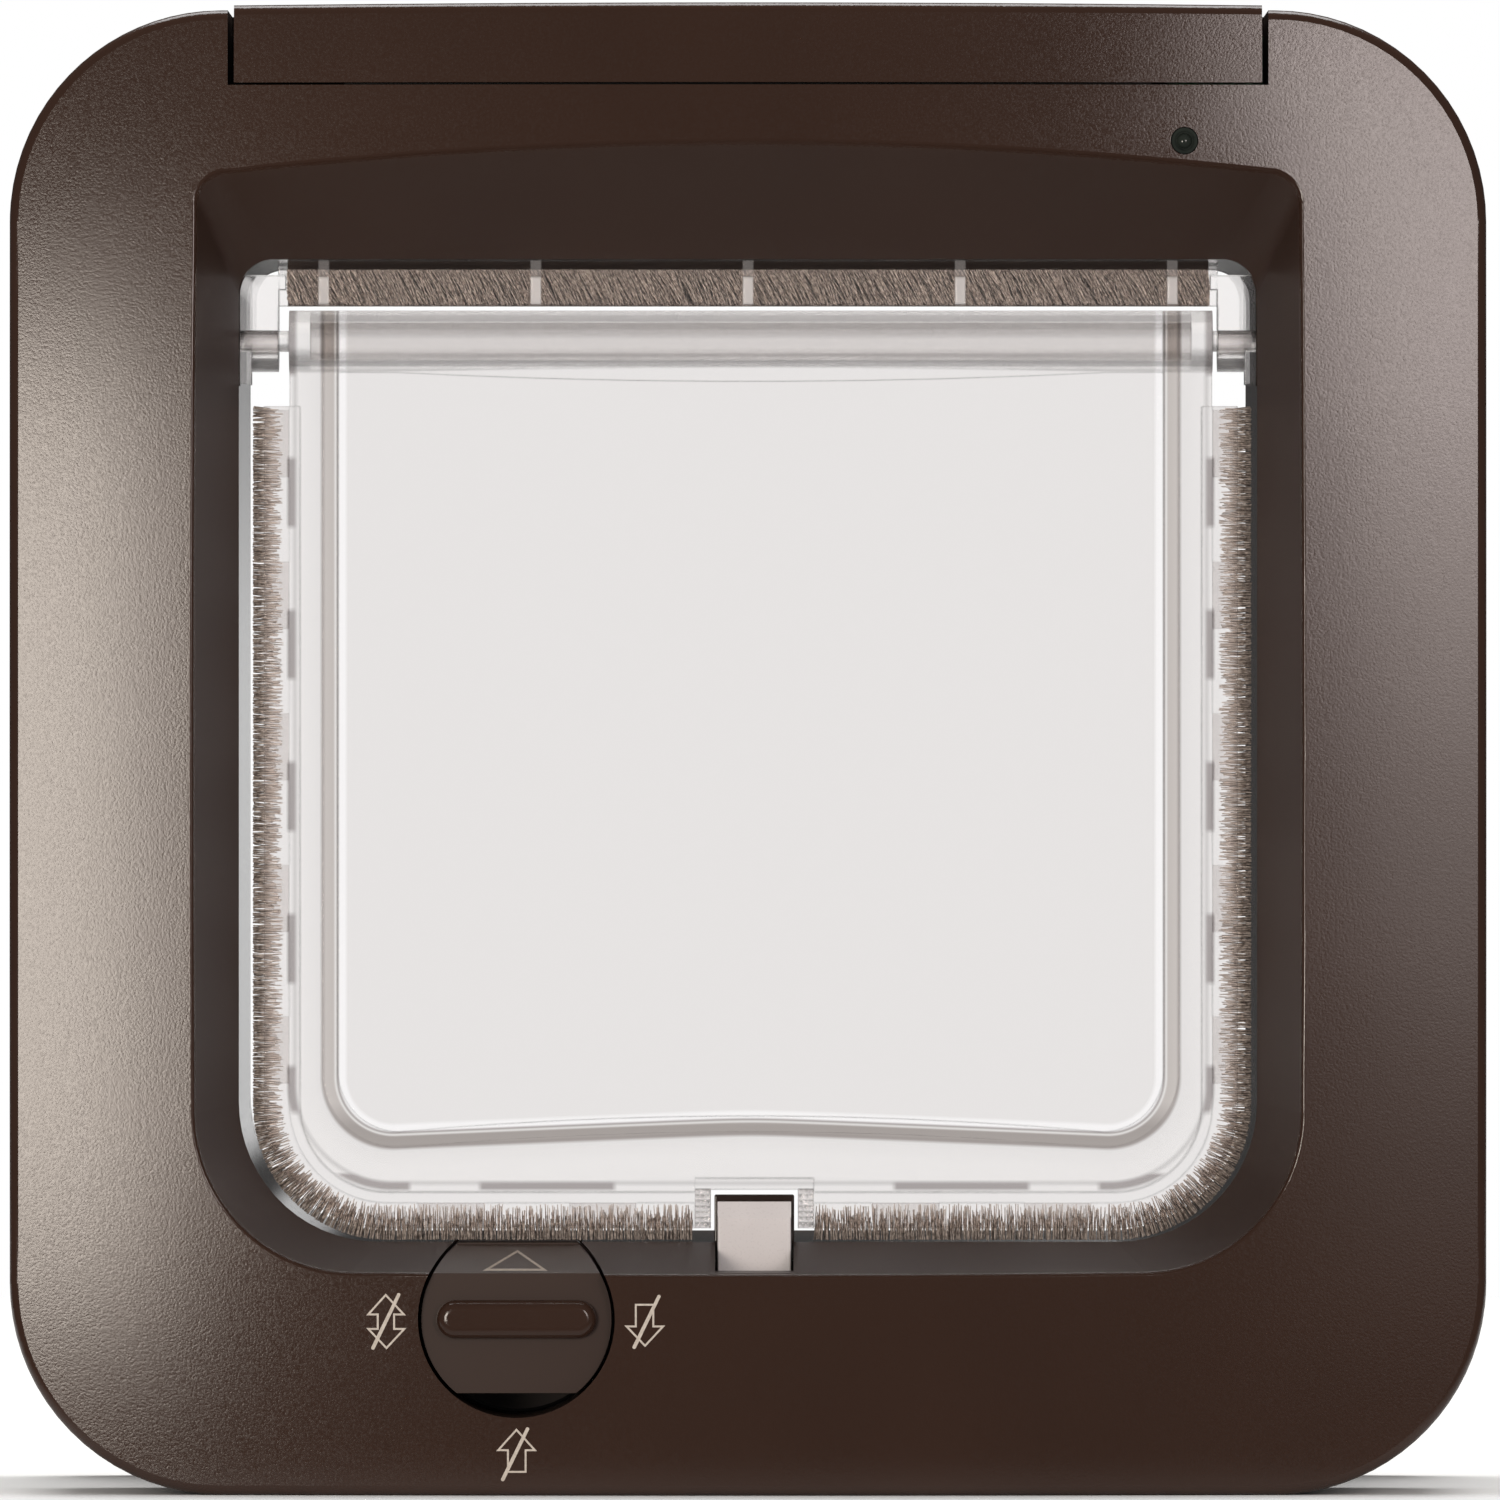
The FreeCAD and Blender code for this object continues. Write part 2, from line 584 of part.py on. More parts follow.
def inner_frame():
    """The room side moulding: face, recess, dial well, latch channel, bay walls and screw posts."""
    solid = crowned_frame(0, -ROOM_DEPTH - 1, room_crown(0), room_face_y)
    cavity = frame_block(WALL, -ROOM_DEPTH, 1).common(room_crown(WALL))
    well = rod_y(DIAL_X, DIAL_Z, DIAL_WELL_R + DIAL_WELL_WALL, -ROOM_DEPTH, MOUTH_Y)
    kept = [recess_block(WALL), well, latch_guide(), bay_walls(1), bay_walls(-1)]
    kept += [rod_y(x, z, POST_R, -ROOM_DEPTH, -PLATE_T) for x, z in HOUSING_POSTS]
    kept += [rod_y(x, z, SMALL_POST_R, BAY_PANEL_Y + BAY_PANEL_T / 2, SMALL_BOARD_Y)
             for x, z in small_board_posts()]
    body = solid.cut(cavity.cut(kept)).cut(recess_block(0))
    recess_edge = [edge for edge in face_edges(body, room_face_y)
                   if abs(edge.CenterOfMass.x) < MOUTH_W / 2 + RECESS_FLARE]
    recess_edge = [edge for edge in recess_edge
                   if MOUTH_BOTTOM - 2 * RECESS_DROP < edge.CenterOfMass.z < MOUTH_TOP + 2 * RECESS_RISE]
    body = body.makeFillet(RECESS_EDGE_ROUND, recess_edge)
    cuts = [rod_y(DIAL_X, DIAL_Z, DIAL_WELL_R, -ROOM_DEPTH - 1, MOUTH_Y + 1), latch_space(), bay_opening(),
            rod_y(LIGHT_X, LIGHT_Z, LIGHT_R + SMALL_FIT, -ROOM_DEPTH, SMALL_BOARD_Y),
            rod_y(BUTTON_X, BUTTON_Z, BUTTON_R + SMALL_FIT, BAY_PANEL_Y - 1, SMALL_BOARD_Y)]
    cuts += [rod_y(x, z, HOUSING_SCREW_R + THREAD_FIT, -PLATE_T - HOUSING_SCREW_L, 0)
             for x, z in HOUSING_POSTS]
    for cut in cuts:
        body = body.cut(cut)
    return merged(body)


def battery_cover():
    """Lift-off cover that closes the battery bay flush with the face."""
    top = FRAME_H / 2 + COVER_PROUD

    def profile(inset, low):
        half = COVER_W / 2 - inset
        high = top - inset
        corners = [V(-half, 0, low), V(half, 0, low), V(half, 0, high), V(-half, 0, high)]
        crown = Part.Arc(corners[2], V(0, 0, high + COVER_CROWN), corners[3]).toShape()
        wire = Part.Wire([Part.makeLine(corners[0], corners[1]), Part.makeLine(corners[1], corners[2]),
                          crown, Part.makeLine(corners[3], corners[0])])
        wire.translate(V(0, -ROOM_DEPTH - 1, 0))
        return wire

    length = COVER_REAR + ROOM_DEPTH + 1
    solid = plate(profile(0, COVER_LOW), length).common(room_crown(0))
    rim = [edge for edge in face_edges(solid, room_face_y) if edge.BoundBox.ZMin > FRAME_H / 2]
    solid = solid.makeFillet(EDGE_ROUND, rim)
    hollow = plate(profile(COVER_WALL, COVER_LOW - 5), length + 1).common(room_crown(COVER_WALL))
    body = solid.cut(hollow)
    half = COVER_W / 2
    cheek_end = room_face_y(half, COVER_LOW) + COVER_CHEEK
    for side in (-1, 1):
        x0, x1 = sorted((side * (half - COVER_WALL - 0.1), side * (half + 1)))
        body = body.cut(box(x0, x1, cheek_end, 0, COVER_LOW - 1, top - COVER_WALL))
    return merged(body)


def stadium(radius, x0, x1):
    """A round-ended channel that encloses the lower and the upper row of cells."""
    (y0, z0), (y1, z1) = CELL_BACK, CELL_FRONT
    along = V(0, y1 - y0, z1 - z0)
    across = V(0, -(z1 - z0), y1 - y0) * (radius / along.Length)
    a, b = V(x0, y0, z0), V(x0, y1, z1)
    corners = [a + across, b + across, b - across, a - across, a + across]
    middle = Part.Face(Part.makePolygon(corners)).extrude(V(x1 - x0, 0, 0))
    return middle.fuse([rod_x(y0, z0, radius, x0, x1), rod_x(y1, z1, radius, x0, x1)])


def battery_tray():
    """Trough for two rows of two cells, with a divider in the middle."""
    outer_r = TRAY_R + TRAY_WALL
    end = TRAY_END + TRAY_WALL
    y, z = CELL_FRONT
    body = stadium(outer_r, -end, end).fuse(box(-end, end, y - outer_r, y + outer_r, z, TRAY_TOP))
    for side in (-1, 1):
        x0, x1 = sorted((side * DIVIDER_T / 2, side * TRAY_END))
        body = body.cut(stadium(TRAY_R, x0, x1))
        body = body.cut(box(x0, x1, y - TRAY_R, y + TRAY_R, z, TRAY_TOP + 1))
    body = body.cut(box(-BIG, BIG, -BIG, BIG, TRAY_TOP, BIG))
    return merged(body)


def cell(side, place):
    """A round battery cell lying across the width, its raised contact outwards."""
    y, z = place
    body = rod_x(y, z, CELL_R, CELL_START, CELL_START + CELL_BODY_L)
    ends = [edge for edge in body.Edges if edge.Curve.TypeId == "Part::GeomCircle"]
    body = body.makeFillet(CELL_ROUND, ends)
    nub = rod_x(y, z, CELL_NUB_R, CELL_START + CELL_BODY_L / 2, CELL_END)
    body = body.fuse(nub)
    return body if side > 0 else body.mirror(V(0, 0, 0), V(1, 0, 0))


def contact_spring(side, place):
    """The coil spring that bears on a cell's flat end."""
    y, z = place
    height = SPRING_L - 2 * SPRING_WIRE_R
    path = Part.makeHelix(height / SPRING_TURNS, height, SPRING_R)
    ring = Part.Wire(Part.Circle(V(SPRING_R, 0, 0), V(0, 1, 0), SPRING_WIRE_R).toShape())
    coil = Part.Wire(path.Edges).makePipeShell([ring], True, True)
    coil.rotate(V(0, 0, 0), V(0, 1, 0), 90)
    coil.translate(V(DIVIDER_T / 2 + CONTACT_GAP + SPRING_WIRE_R, y, z))
    return coil if side > 0 else coil.mirror(V(0, 0, 0), V(1, 0, 0))


def contact_plate(side, place):
    """The flat contact at the outer end of a cell."""
    y, z = place
    x0 = CELL_END + CONTACT_GAP
    half = CONTACT_W / 2
    x0, x1 = sorted((side * x0, side * (x0 + CONTACT_T)))
    return box(x0, x1, y - half, y + half, z - half, z + half)


def small_board_corner():
    """Inner lower corner of the small board, in X and Z."""
    return LIGHT_X - SMALL_BOARD_MARGIN, LIGHT_Z - LIGHT_R - BOARD_POST_R


def small_board_posts():
    """Places of the two posts that carry the small board, in opposite corners."""
    x, z = small_board_corner()
    right, top = x + SMALL_BOARD_W, z + SMALL_BOARD_H
    return ((right - SMALL_POST_R, z + SMALL_POST_R), (x + SMALL_POST_R, top - SMALL_POST_R))


def small_board():
    """Board behind the bay panel with the light's emitter and the learning switch."""
    x, z = small_board_corner()
    back = SMALL_BOARD_Y + BOARD_T
    body = box(x, x + SMALL_BOARD_W, SMALL_BOARD_Y, back, z, z + SMALL_BOARD_H)
    emitter = rod_y(LIGHT_X, LIGHT_Z, LIGHT_LENS_R, SMALL_BOARD_Y - EMITTER_L, back)
    half = SWITCH_W / 2
    switch = box(BUTTON_X - half, BUTTON_X + half, SMALL_BOARD_Y - SWITCH_T, back, BUTTON_Z - half,
                 BUTTON_Z + half)
    return merged(body.fuse([emitter, switch]))


def light_lens():
    """Smoked lens of the status light: a plug with a groove round its low dome, set in the face."""
    face = room_face_y(LIGHT_X, LIGHT_Z)
    plug = rod_y(LIGHT_X, LIGHT_Z, LIGHT_R, face + LENS_SINK, SMALL_BOARD_Y - EMITTER_L - EMITTER_GAP)
    plug = plug.cut(rod_y(LIGHT_X, LIGHT_Z, LIGHT_LENS_R + SMALL_FIT, face, face + LENS_GROOVE))
    dome = Part.makeSphere(LIGHT_LENS_R, V(LIGHT_X, face + LIGHT_LENS_R, LIGHT_Z))
    root = rod_y(LIGHT_X, LIGHT_Z, LIGHT_LENS_R, face - 1, face + LIGHT_LENS_R)
    return merged(plug.fuse(dome.common(root)))


def learn_button():
    """Push button that starts the learning of a new tag."""
    back = SMALL_BOARD_Y - SWITCH_T - BUTTON_TRAVEL - SMALL_FIT
    front = back - BUTTON_STEM_L
    body = rod_y(BUTTON_X, BUTTON_Z, BUTTON_R, front, back)
    return body.makeFillet(BUTTON_ROUND, [edge for edge in body.Edges if edge.BoundBox.YMax < front + NEAR])


def board_posts():
    """Places of the four posts of the main board."""
    return [(x, z) for x in (BOARD_X[0] + BOARD_INSET, BOARD_X[1] - BOARD_INSET)
            for z in (BOARD_Z[0] + BOARD_INSET, BOARD_Z[1] - BOARD_INSET)]


def main_board():
    """Control board with its chips, a plug header, a relay and two capacitors."""
    x0, x1 = BOARD_X
    half_h = (BOARD_Z[1] - BOARD_Z[0]) / 2
    body = box(x0, x1, BOARD_Y, BOARD_Y + BOARD_T, *BOARD_Z)
    front = BOARD_Y + CHIP_SINK
    parts = []
    for inset, share, width, height, thickness in CHIPS:
        x, z = x0 + inset, share * half_h
        parts.append(box(x - width / 2, x + width / 2, front - thickness, front, z - height / 2,
                         z + height / 2))
    parts += [rod_y(x0 + CAPACITOR_IN, share * half_h, CAPACITOR_R, front - CAPACITOR_L, front)
              for share in CAPACITORS]
    body = body.fuse(parts)
    for x, z in board_posts():
        body = body.cut(rod_y(x, z, BOARD_SCREW_R + SMALL_FIT, BOARD_Y - 1, 0))
    return merged(body)


def screw(x, z, shank_r, head_r, head_t, seat, tip):
    """A pan-head screw along Y: its head starts at the seat, away from the tip."""
    away = 1.0 if seat > tip else -1.0
    head = Part.makeCylinder(head_r, head_t, V(x, seat, z), V(0, away, 0))
    rim = [edge for edge in head.Edges if edge.Curve.TypeId == "Part::GeomCircle"
           and abs(edge.CenterOfMass.y - seat - away * head_t) < NEAR]
    head = head.makeFillet(min(head_t, head_r) * HEAD_ROUND, rim)
    shank = Part.makeCylinder(shank_r, abs(seat - tip) - shank_r, V(x, seat, z), V(0, -away, 0))
    point = Part.makeCone(shank_r, shank_r * POINT_SHARE, shank_r,
                          V(x, seat - away * (abs(seat - tip) - shank_r), z), V(0, -away, 0))
    return merged(head.fuse([shank, point]))


def crossed(body, x, z, y_head, away, size):
    """A cross recess sunk in a screw's head."""
    depth = size * CROSS_DEPTH
    y0, y1 = sorted((y_head, y_head - away * depth))
    for w, h in ((size, size * CROSS_ARM), (size * CROSS_ARM, size)):
        body = body.cut(box(x - w / 2, x + w / 2, y0, y1 + NEAR, z - h / 2, z + h / 2))
    return body


def board_screws():
    """The four screws of the main board."""
    return Part.makeCompound([
        screw(x, z, BOARD_SCREW_R, BOARD_HEAD_R, BOARD_HEAD_T, BOARD_Y, BOARD_Y + BOARD_SCREW_L)
        for x, z in board_posts()])


def housing_screws():
    """The screws that hold the rear housing to the room frame, sunk in its plate."""
    seat = -HOUSING_HEAD_T - HEAD_SINK
    made = []
    for x, z in HOUSING_POSTS:
        body = screw(x, z, HOUSING_SCREW_R, HOUSING_HEAD_R, HOUSING_HEAD_T, seat, seat - HOUSING_SCREW_L)
        made.append(crossed(body, x, z, seat + HOUSING_HEAD_T, 1.0, HOUSING_HEAD_R * CROSS_SPAN))
    return Part.makeCompound(made)


def hinge_pocket(side):
    """Cut in the tunnel's wall that a hinge block seats in."""
    x0, x1 = sorted((side * (MOUTH_W / 2 - POCKET_IN), side * (RAIL_BLOCK_OUT + POCKET_FIT)))
    return box(x0, x1, MOUTH_Y - 1, RAIL_REAR + POCKET_FIT, RAIL_BLOCK_BOTTOM - POCKET_FIT,
               RAIL_ARM_TOP + POCKET_FIT)


def rear_housing():
    """Back plate with the tunnel's room end, the dial's well, the motor's cradle, posts and bosses."""
    body = frame_block(WALL + PLATE_GAP, -PLATE_T, 0)
    well = rod_y(DIAL_X, DIAL_Z, DIAL_WELL_R + DIAL_WELL_WALL, MOUTH_Y, -PLATE_T)
    bosses = [rod_y(x, z, SCREW_BOSS_R, -PLATE_T, SCREW_BOSS_END) for x, z in mounting_places()]
    posts = [rod_y(x, z, BOARD_POST_R, BOARD_Y + BOARD_T, -PLATE_T) for x, z in board_posts()]
    cradle = rod_y(LATCH_X, CAM_Z, MOTOR_R + CRADLE_FIT + CRADLE_WALL, -PLATE_T - CRADLE_L, -PLATE_T)
    cradle = cradle.cut(rod_y(LATCH_X, CAM_Z, MOTOR_R + CRADLE_FIT, -BIG, BIG))
    cradle = cradle.cut(box(-BIG, BIG, -BIG, BIG, CAM_Z + MOTOR_R / 2, BIG))
    body = body.fuse([mouth_block(WALL, MOUTH_Y, 0), well, cradle] + bosses + posts)
    cuts = [mouth_block(0, MOUTH_Y - 1, 1), mouth_block(LAP_T + LAP_FIT, -LAP_L - LAP_FIT, 1),
            mouth_block(WALL + LAP_FIT, -TUNNEL_SINK, 1), hinge_pocket(-1), hinge_pocket(1),
            rod_y(DIAL_X, DIAL_Z, DIAL_WELL_R, MOUTH_Y - 1, -PLATE_T),
            rod_y(DIAL_X, DIAL_Z, JOURNAL_R + JOURNAL_FIT, -PLATE_T - 1, 1),
            rod_y(DIAL_X, DIAL_Z, DIAL_WASHER_R + WASHER_FIT, -WASHER_SINK, 1)]
    cuts += [rod_y(x, z, SCREW_R + THREAD_FIT, SCREW_TIP - SCREW_END_GAP, SCREW_BOSS_END + 1)
             for x, z in mounting_places()]
    cuts += [rod_y(x, z, BOARD_SCREW_R + THREAD_FIT, BOARD_Y, BOARD_Y + BOARD_SCREW_L + BOARD_SCREW_R)
             for x, z in board_posts()]
    for x, z in HOUSING_POSTS:
        cuts.append(rod_y(x, z, HOUSING_SCREW_R + SMALL_FIT, -PLATE_T - 1, 1))
        cuts.append(rod_y(x, z, HOUSING_HEAD_R + SMALL_FIT, -HOUSING_HEAD_T - HEAD_SINK, 1))
    for cut in cuts:
        body = body.cut(cut)
    return merged(body)


def tunnel():
    """Tunnel through the door: its lip plugs into the rear housing, and two ribs hold the reader coil."""
    end = DOOR_T + DUCT_REACH
    start = COIL_Y - COIL_GAP - COIL_RIB_T
    ribs = [mouth_block(WALL + COIL_RIB_H, y, y + COIL_RIB_T) for y in (start, COIL_Y + COIL_L + COIL_GAP)]
    body = mouth_block(WALL, -TUNNEL_SINK, end).fuse([mouth_block(LAP_T, -LAP_L, 1)] + ribs)
    body = body.cut(mouth_block(0, -LAP_L - 1, end + 1))
    return merged(body)


def mounting_places():
    """Places of the four screws that clamp the two frames to the door."""
    return [(x, z) for z in (SCREW_Z, -SCREW_Z) for x in (-SCREW_X, SCREW_X)]


def hinge_arm(side):
    """Tapered arm and bearing block at one end of the hinge rail."""
    x0, x1 = RAIL_ARM_X
    profile = Part.Wire([
        Part.makeLine(V(x0, RAIL_FRONT, RAIL_ARM_TOP), V(x0, RAIL_REAR, RAIL_ARM_TOP)),
        Part.makeLine(V(x0, RAIL_REAR, RAIL_ARM_TOP), V(x0, PIVOT_Y + BARREL_R, PIVOT_Z)),
        Part.Arc(V(x0, PIVOT_Y + BARREL_R, PIVOT_Z), V(x0, PIVOT_Y, PIVOT_Z - BARREL_R),
                 V(x0, PIVOT_Y - BARREL_R, PIVOT_Z)).toShape(),
        Part.makeLine(V(x0, PIVOT_Y - BARREL_R, PIVOT_Z), V(x0, RAIL_FRONT, RAIL_ARM_TOP)),
    ])
    arm = Part.Face(profile).extrude(V(x1 - x0, 0, 0))
    block = box(x1, RAIL_BLOCK_OUT, RAIL_FRONT, RAIL_REAR, RAIL_BLOCK_BOTTOM, RAIL_ARM_TOP)
    both = arm.fuse(block)
    both = both.cut(rod_x(PIVOT_Y, PIVOT_Z, PIN_R + PIN_FIT, x0 - 1, RAIL_BLOCK_OUT - RAIL_BLOCK_WALL))
    return both if side > 0 else both.mirror(V(0, 0, 0), V(1, 0, 0))


def hinge_rail():
    """Clear rail across the top of the mouth: strip, ribs, pile shelf and the two hinge arms."""
    half = RAIL_ARM_X[0]
    top = MOUTH_TOP - RAIL_GAP
    strip = box(-half, half, RAIL_FRONT, RAIL_FRONT + RAIL_T, RAIL_BOTTOM, top)
    shelf = box(-half, half, RAIL_FRONT, RAIL_REAR, top - RAIL_T, top)
    low = RAIL_BOTTOM + RAIL_RIB_LIFT
    ribs = [box(x - RAIL_RIB_W / 2, x + RAIL_RIB_W / 2, RAIL_FRONT - RAIL_RIB_T, RAIL_FRONT, low,
                low + RAIL_RIB_H) for x in rib_places()]
    ribs = [rib.makeFillet(RAIL_RIB_ROUND, [edge for edge in rib.Edges
                                            if edge.BoundBox.YMax < RAIL_FRONT - RAIL_RIB_T / 2])
            for rib in ribs]
    shoulders = [box(*sorted((side * (half - 1), side * sum(RAIL_ARM_X) / 2)), RAIL_FRONT, RAIL_REAR,
                     RAIL_ARM_TOP - RAIL_SHOULDER_H, RAIL_ARM_TOP) for side in (-1, 1)]
    return merged(strip.fuse([shelf, hinge_arm(-1), hinge_arm(1)] + ribs + shoulders))


def rib_places():
    """Places of the rail's ribs across the width."""
    first = -RAIL_RIB_PITCH * (RAIL_RIBS - 1) / 2
    return [first + RAIL_RIB_PITCH * count for count in range(RAIL_RIBS)]


def top_pile():
    """Brush strip that hangs behind the rail and closes the gap over the flap."""
    half = RAIL_ARM_X[0] - TOP_PILE_SIDE
    return box(-half, half, RAIL_FRONT + RAIL_T + TOP_PILE_GAP, RAIL_REAR - TOP_PILE_BACK, TOP_PILE_TIP,
               MOUTH_TOP - RAIL_GAP - RAIL_T - TOP_PILE_GAP)


def flap_block(inset, y0, y1, top):
    """The flap's outline up to a height, moved in from the flange's edge by an inset."""
    radius = FLAP_CORNER_R - inset
    wire = outline(FLAP_HALF_W - inset, FLAP_BOTTOM + inset, PIVOT_Z + BARREL_R, radius, FLAP_TOP_R, y0,
                   x=FLAP_X)
    return plate(wire, y1 - y0).common(box(-BIG, BIG, -BIG, BIG, -BIG, top))


def window_block(inset, y0, y1):
    """The window's outline, whose top and bottom edges bow inwards."""
    wire = outline(WINDOW_HALF_W - inset, WINDOW_BOTTOM + inset, WINDOW_TOP - inset, WINDOW_R - inset,
                   max(WINDOW_TOP_R - inset, WINDOW_MIN_R), y0, x=FLAP_X, low_arch=WINDOW_BOTTOM_ARCH,
                   high_arch=-WINDOW_TOP_ARCH)
    return plate(wire, y1 - y0)


def window_bow(inset):
    """Upright cylinder whose front is the bowed surface of the window."""
    radius = (WINDOW_HALF_W ** 2 + WINDOW_BULGE ** 2) / (2 * WINDOW_BULGE)
    front = PLATE_FRONT - WINDOW_STEP - WINDOW_BULGE
    return Part.makeCylinder(radius - inset, BIG, V(FLAP_X, front + radius, -BIG / 2), V(0, 0, 1))


def rear_tabs(channel):
    """Short tabs that close the back of the pile channel at intervals."""
    keep = []
    for count in range(SIDE_TABS):
        z = TAB_Z0 - TAB_PITCH * count
        keep.append(box(-BIG, BIG, -BIG, BIG, z - TAB_W / 2, z + TAB_W / 2))
    for count in (-2, -1, 1, 2):
        x = LATCH_X + TAB_PITCH * count
        keep.append(box(x - TAB_W / 2, x + TAB_W / 2, -BIG, BIG, -BIG, FLAP_BOTTOM + FLAP_CORNER_R / 2))
    return [channel.common(block) for block in keep]


def notch_space(grow):
    """The slot in the flap's lower edge that the latch passes through, or a block round it."""
    half = NOTCH_W / 2 + grow
    roof = NOTCH_TOP + (NOTCH_ROOF if grow else 0)
    low = FLAP_BOTTOM - (0 if grow else 5)
    y0, y1 = (RIM_FRONT, RIM_REAR) if grow else (-BIG, BIG)
    return box(LATCH_X - half, LATCH_X + half, y0, y1, low, roof)


def flap():
    """Clear flap in one moulding: barrel, pins, plate, pile channel, bowed window and latch notch."""
    rim_web = flap_block(FLANGE_H, RIM_FRONT, RIM_REAR, FLANGE_TOP)
    inside = flap_block(FLANGE_H + WEB_T, -BIG, BIG, PIVOT_Z)
    flange = flap_block(0, RIM_FRONT, RIM_FRONT + FLANGE_T, FLANGE_TOP).cut(inside)
    channel = flap_block(0, RIM_REAR - FLANGE_T, RIM_REAR, FLANGE_TOP).cut(
        flap_block(FLANGE_H, -BIG, BIG, PIVOT_Z))
    web = rim_web.cut(inside)
    sheet = flap_block(FLANGE_H, PLATE_FRONT, PLATE_FRONT + PANE_T, PIVOT_Z)
    side = FLAP_HALF_W - FLANGE_H
    barrel = rod_x(PIVOT_Y, PIVOT_Z, BARREL_R, FLAP_X - side, FLAP_X + side)
    hole = WEB_T * 2
    bore = rod_x(PIVOT_Y, PIVOT_Z, BARREL_BORE_R, FLAP_X - side + hole, FLAP_X + side - hole)
    body = sheet.fuse([barrel, flange, web] + rear_tabs(channel))
    body = body.cut(window_block(0, -BIG, BIG).cut(box(-BIG, BIG, -BIG, BIG, PIVOT_Z - BARREL_R, BIG)))
    pane_back = PLATE_FRONT + PANE_T
    bowed = window_block(0, -BIG / 2, pane_back).common(window_bow(0))
    hollow = window_block(PANE_T, -BIG / 2, pane_back + 1).common(window_bow(PANE_T))
    body = body.fuse([bowed.cut(hollow), notch_space(NOTCH_BLOCK)])
    body = body.cut(bore).cut(notch_space(0))
    pin_end = RAIL_BLOCK_OUT - RAIL_BLOCK_WALL - PIN_END_GAP
    pins = [rod_x(PIVOT_Y, PIVOT_Z, PIN_R, FLAP_X + side - 1, pin_end),
            rod_x(PIVOT_Y, PIVOT_Z, PIN_R, -pin_end, FLAP_X - side + 1)]
    return merged(body.fuse(pins))


def pile_strip(side):
    """Brush strip in the flap's channel, down one side and along half of the bottom."""
    back = RIM_REAR - FLANGE_T - PILE_FIT
    front = RIM_FRONT + FLANGE_T + PILE_FIT
    radius = FLAP_CORNER_R + PILE_REACH
    wire = outline(FLAP_HALF_W + PILE_REACH, FLAP_BOTTOM - PILE_REACH, PIVOT_Z, radius, FLAP_TOP_R, front,
                   x=FLAP_X)
    body = plate(wire, back - front).cut(flap_block(FLANGE_H - PILE_SEAT, -BIG, BIG, PIVOT_Z))
    body = body.cut(box(-BIG, BIG, -BIG, BIG, FLANGE_TOP, BIG))
    half = NOTCH_W / 2 + NOTCH_BLOCK + PILE_FIT
    body = body.cut(box(LATCH_X - half, LATCH_X + half, -BIG, BIG, -BIG, 0))
    edge = 0 if side > 0 else -BIG
    return body.common(box(edge, edge + BIG, -BIG, BIG, -BIG, BIG))


def latch():
    """Bolt that stands in the flap's notch and is lifted by the cam to stop the flap."""
    x0, x1 = LATCH_X - LATCH_W / 2, LATCH_X + LATCH_W / 2
    y0, y1 = LATCH_FRONT, LATCH_FRONT + LATCH_T
    side = [V(x0, y0, LATCH_BODY_BOTTOM), V(x0, y1, LATCH_BODY_BOTTOM), V(x0, y1, LATCH_TOP),
            V(x0, y0 + LATCH_CHAMFER_T, LATCH_TOP), V(x0, y0, LATCH_TOP - LATCH_CHAMFER_H),
            V(x0, y0, LATCH_BODY_BOTTOM)]
    body = Part.Face(Part.makePolygon(side)).extrude(V(x1 - x0, 0, 0))
    uprights = [edge for edge in body.Edges if edge.BoundBox.ZLength > GUIDE_DEPTH]
    body = body.makeFillet(LATCH_ROUND, uprights)
    tip_r = LATCH_FOOT_W / 2
    tip = CAM_Z + CAM_LOW_R + CAM_GAP + tip_r
    foot = box(LATCH_X - tip_r, LATCH_X + tip_r, y0, y1, tip, LATCH_BODY_BOTTOM + 1)
    return merged(body.fuse([foot, rod_y(LATCH_X, tip, tip_r, y0, y1)]))


def cam_radius(angle):
    """Radius of the lifting cam, by degrees against its turn from the side that meets the latch."""
    high = CAM_LOW_R + LATCH_LIFT
    if angle <= CAM_TURN:
        return CAM_LOW_R + LATCH_LIFT * angle / CAM_TURN
    if angle <= CAM_DWELL_END:
        return high
    if angle <= CAM_DROP_END:
        return high - LATCH_LIFT * (angle - CAM_DWELL_END) / (CAM_DROP_END - CAM_DWELL_END)
    return CAM_LOW_R


def lift_cam():
    """Snail cam on the motor's shaft, with its hub."""
    front = LATCH_FRONT
    step = 8

    def point(angle):
        turn = math.radians(angle)
        radius = cam_radius(angle)
        return V(LATCH_X - radius * math.sin(turn), front, CAM_Z + radius * math.cos(turn))

    spots = [point(angle) for angle in range(0, 360, step)]
    body = Part.Face(Part.makePolygon(spots + [spots[0]])).extrude(V(0, CAM_T, 0))
    hub_end = MOTOR_FRONT - CAM_HUB_GAP
    body = body.fuse(rod_y(LATCH_X, CAM_Z, CAM_HUB_R, front, hub_end))
    return merged(body.cut(rod_y(LATCH_X, CAM_Z, SHAFT_R + SHAFT_FIT, front - 1, hub_end + 1)))


def cam_shaft():
    """Output shaft of the gearmotor."""
    return rod_y(LATCH_X, CAM_Z, SHAFT_R, LATCH_FRONT, MOTOR_FRONT + SHAFT_IN)


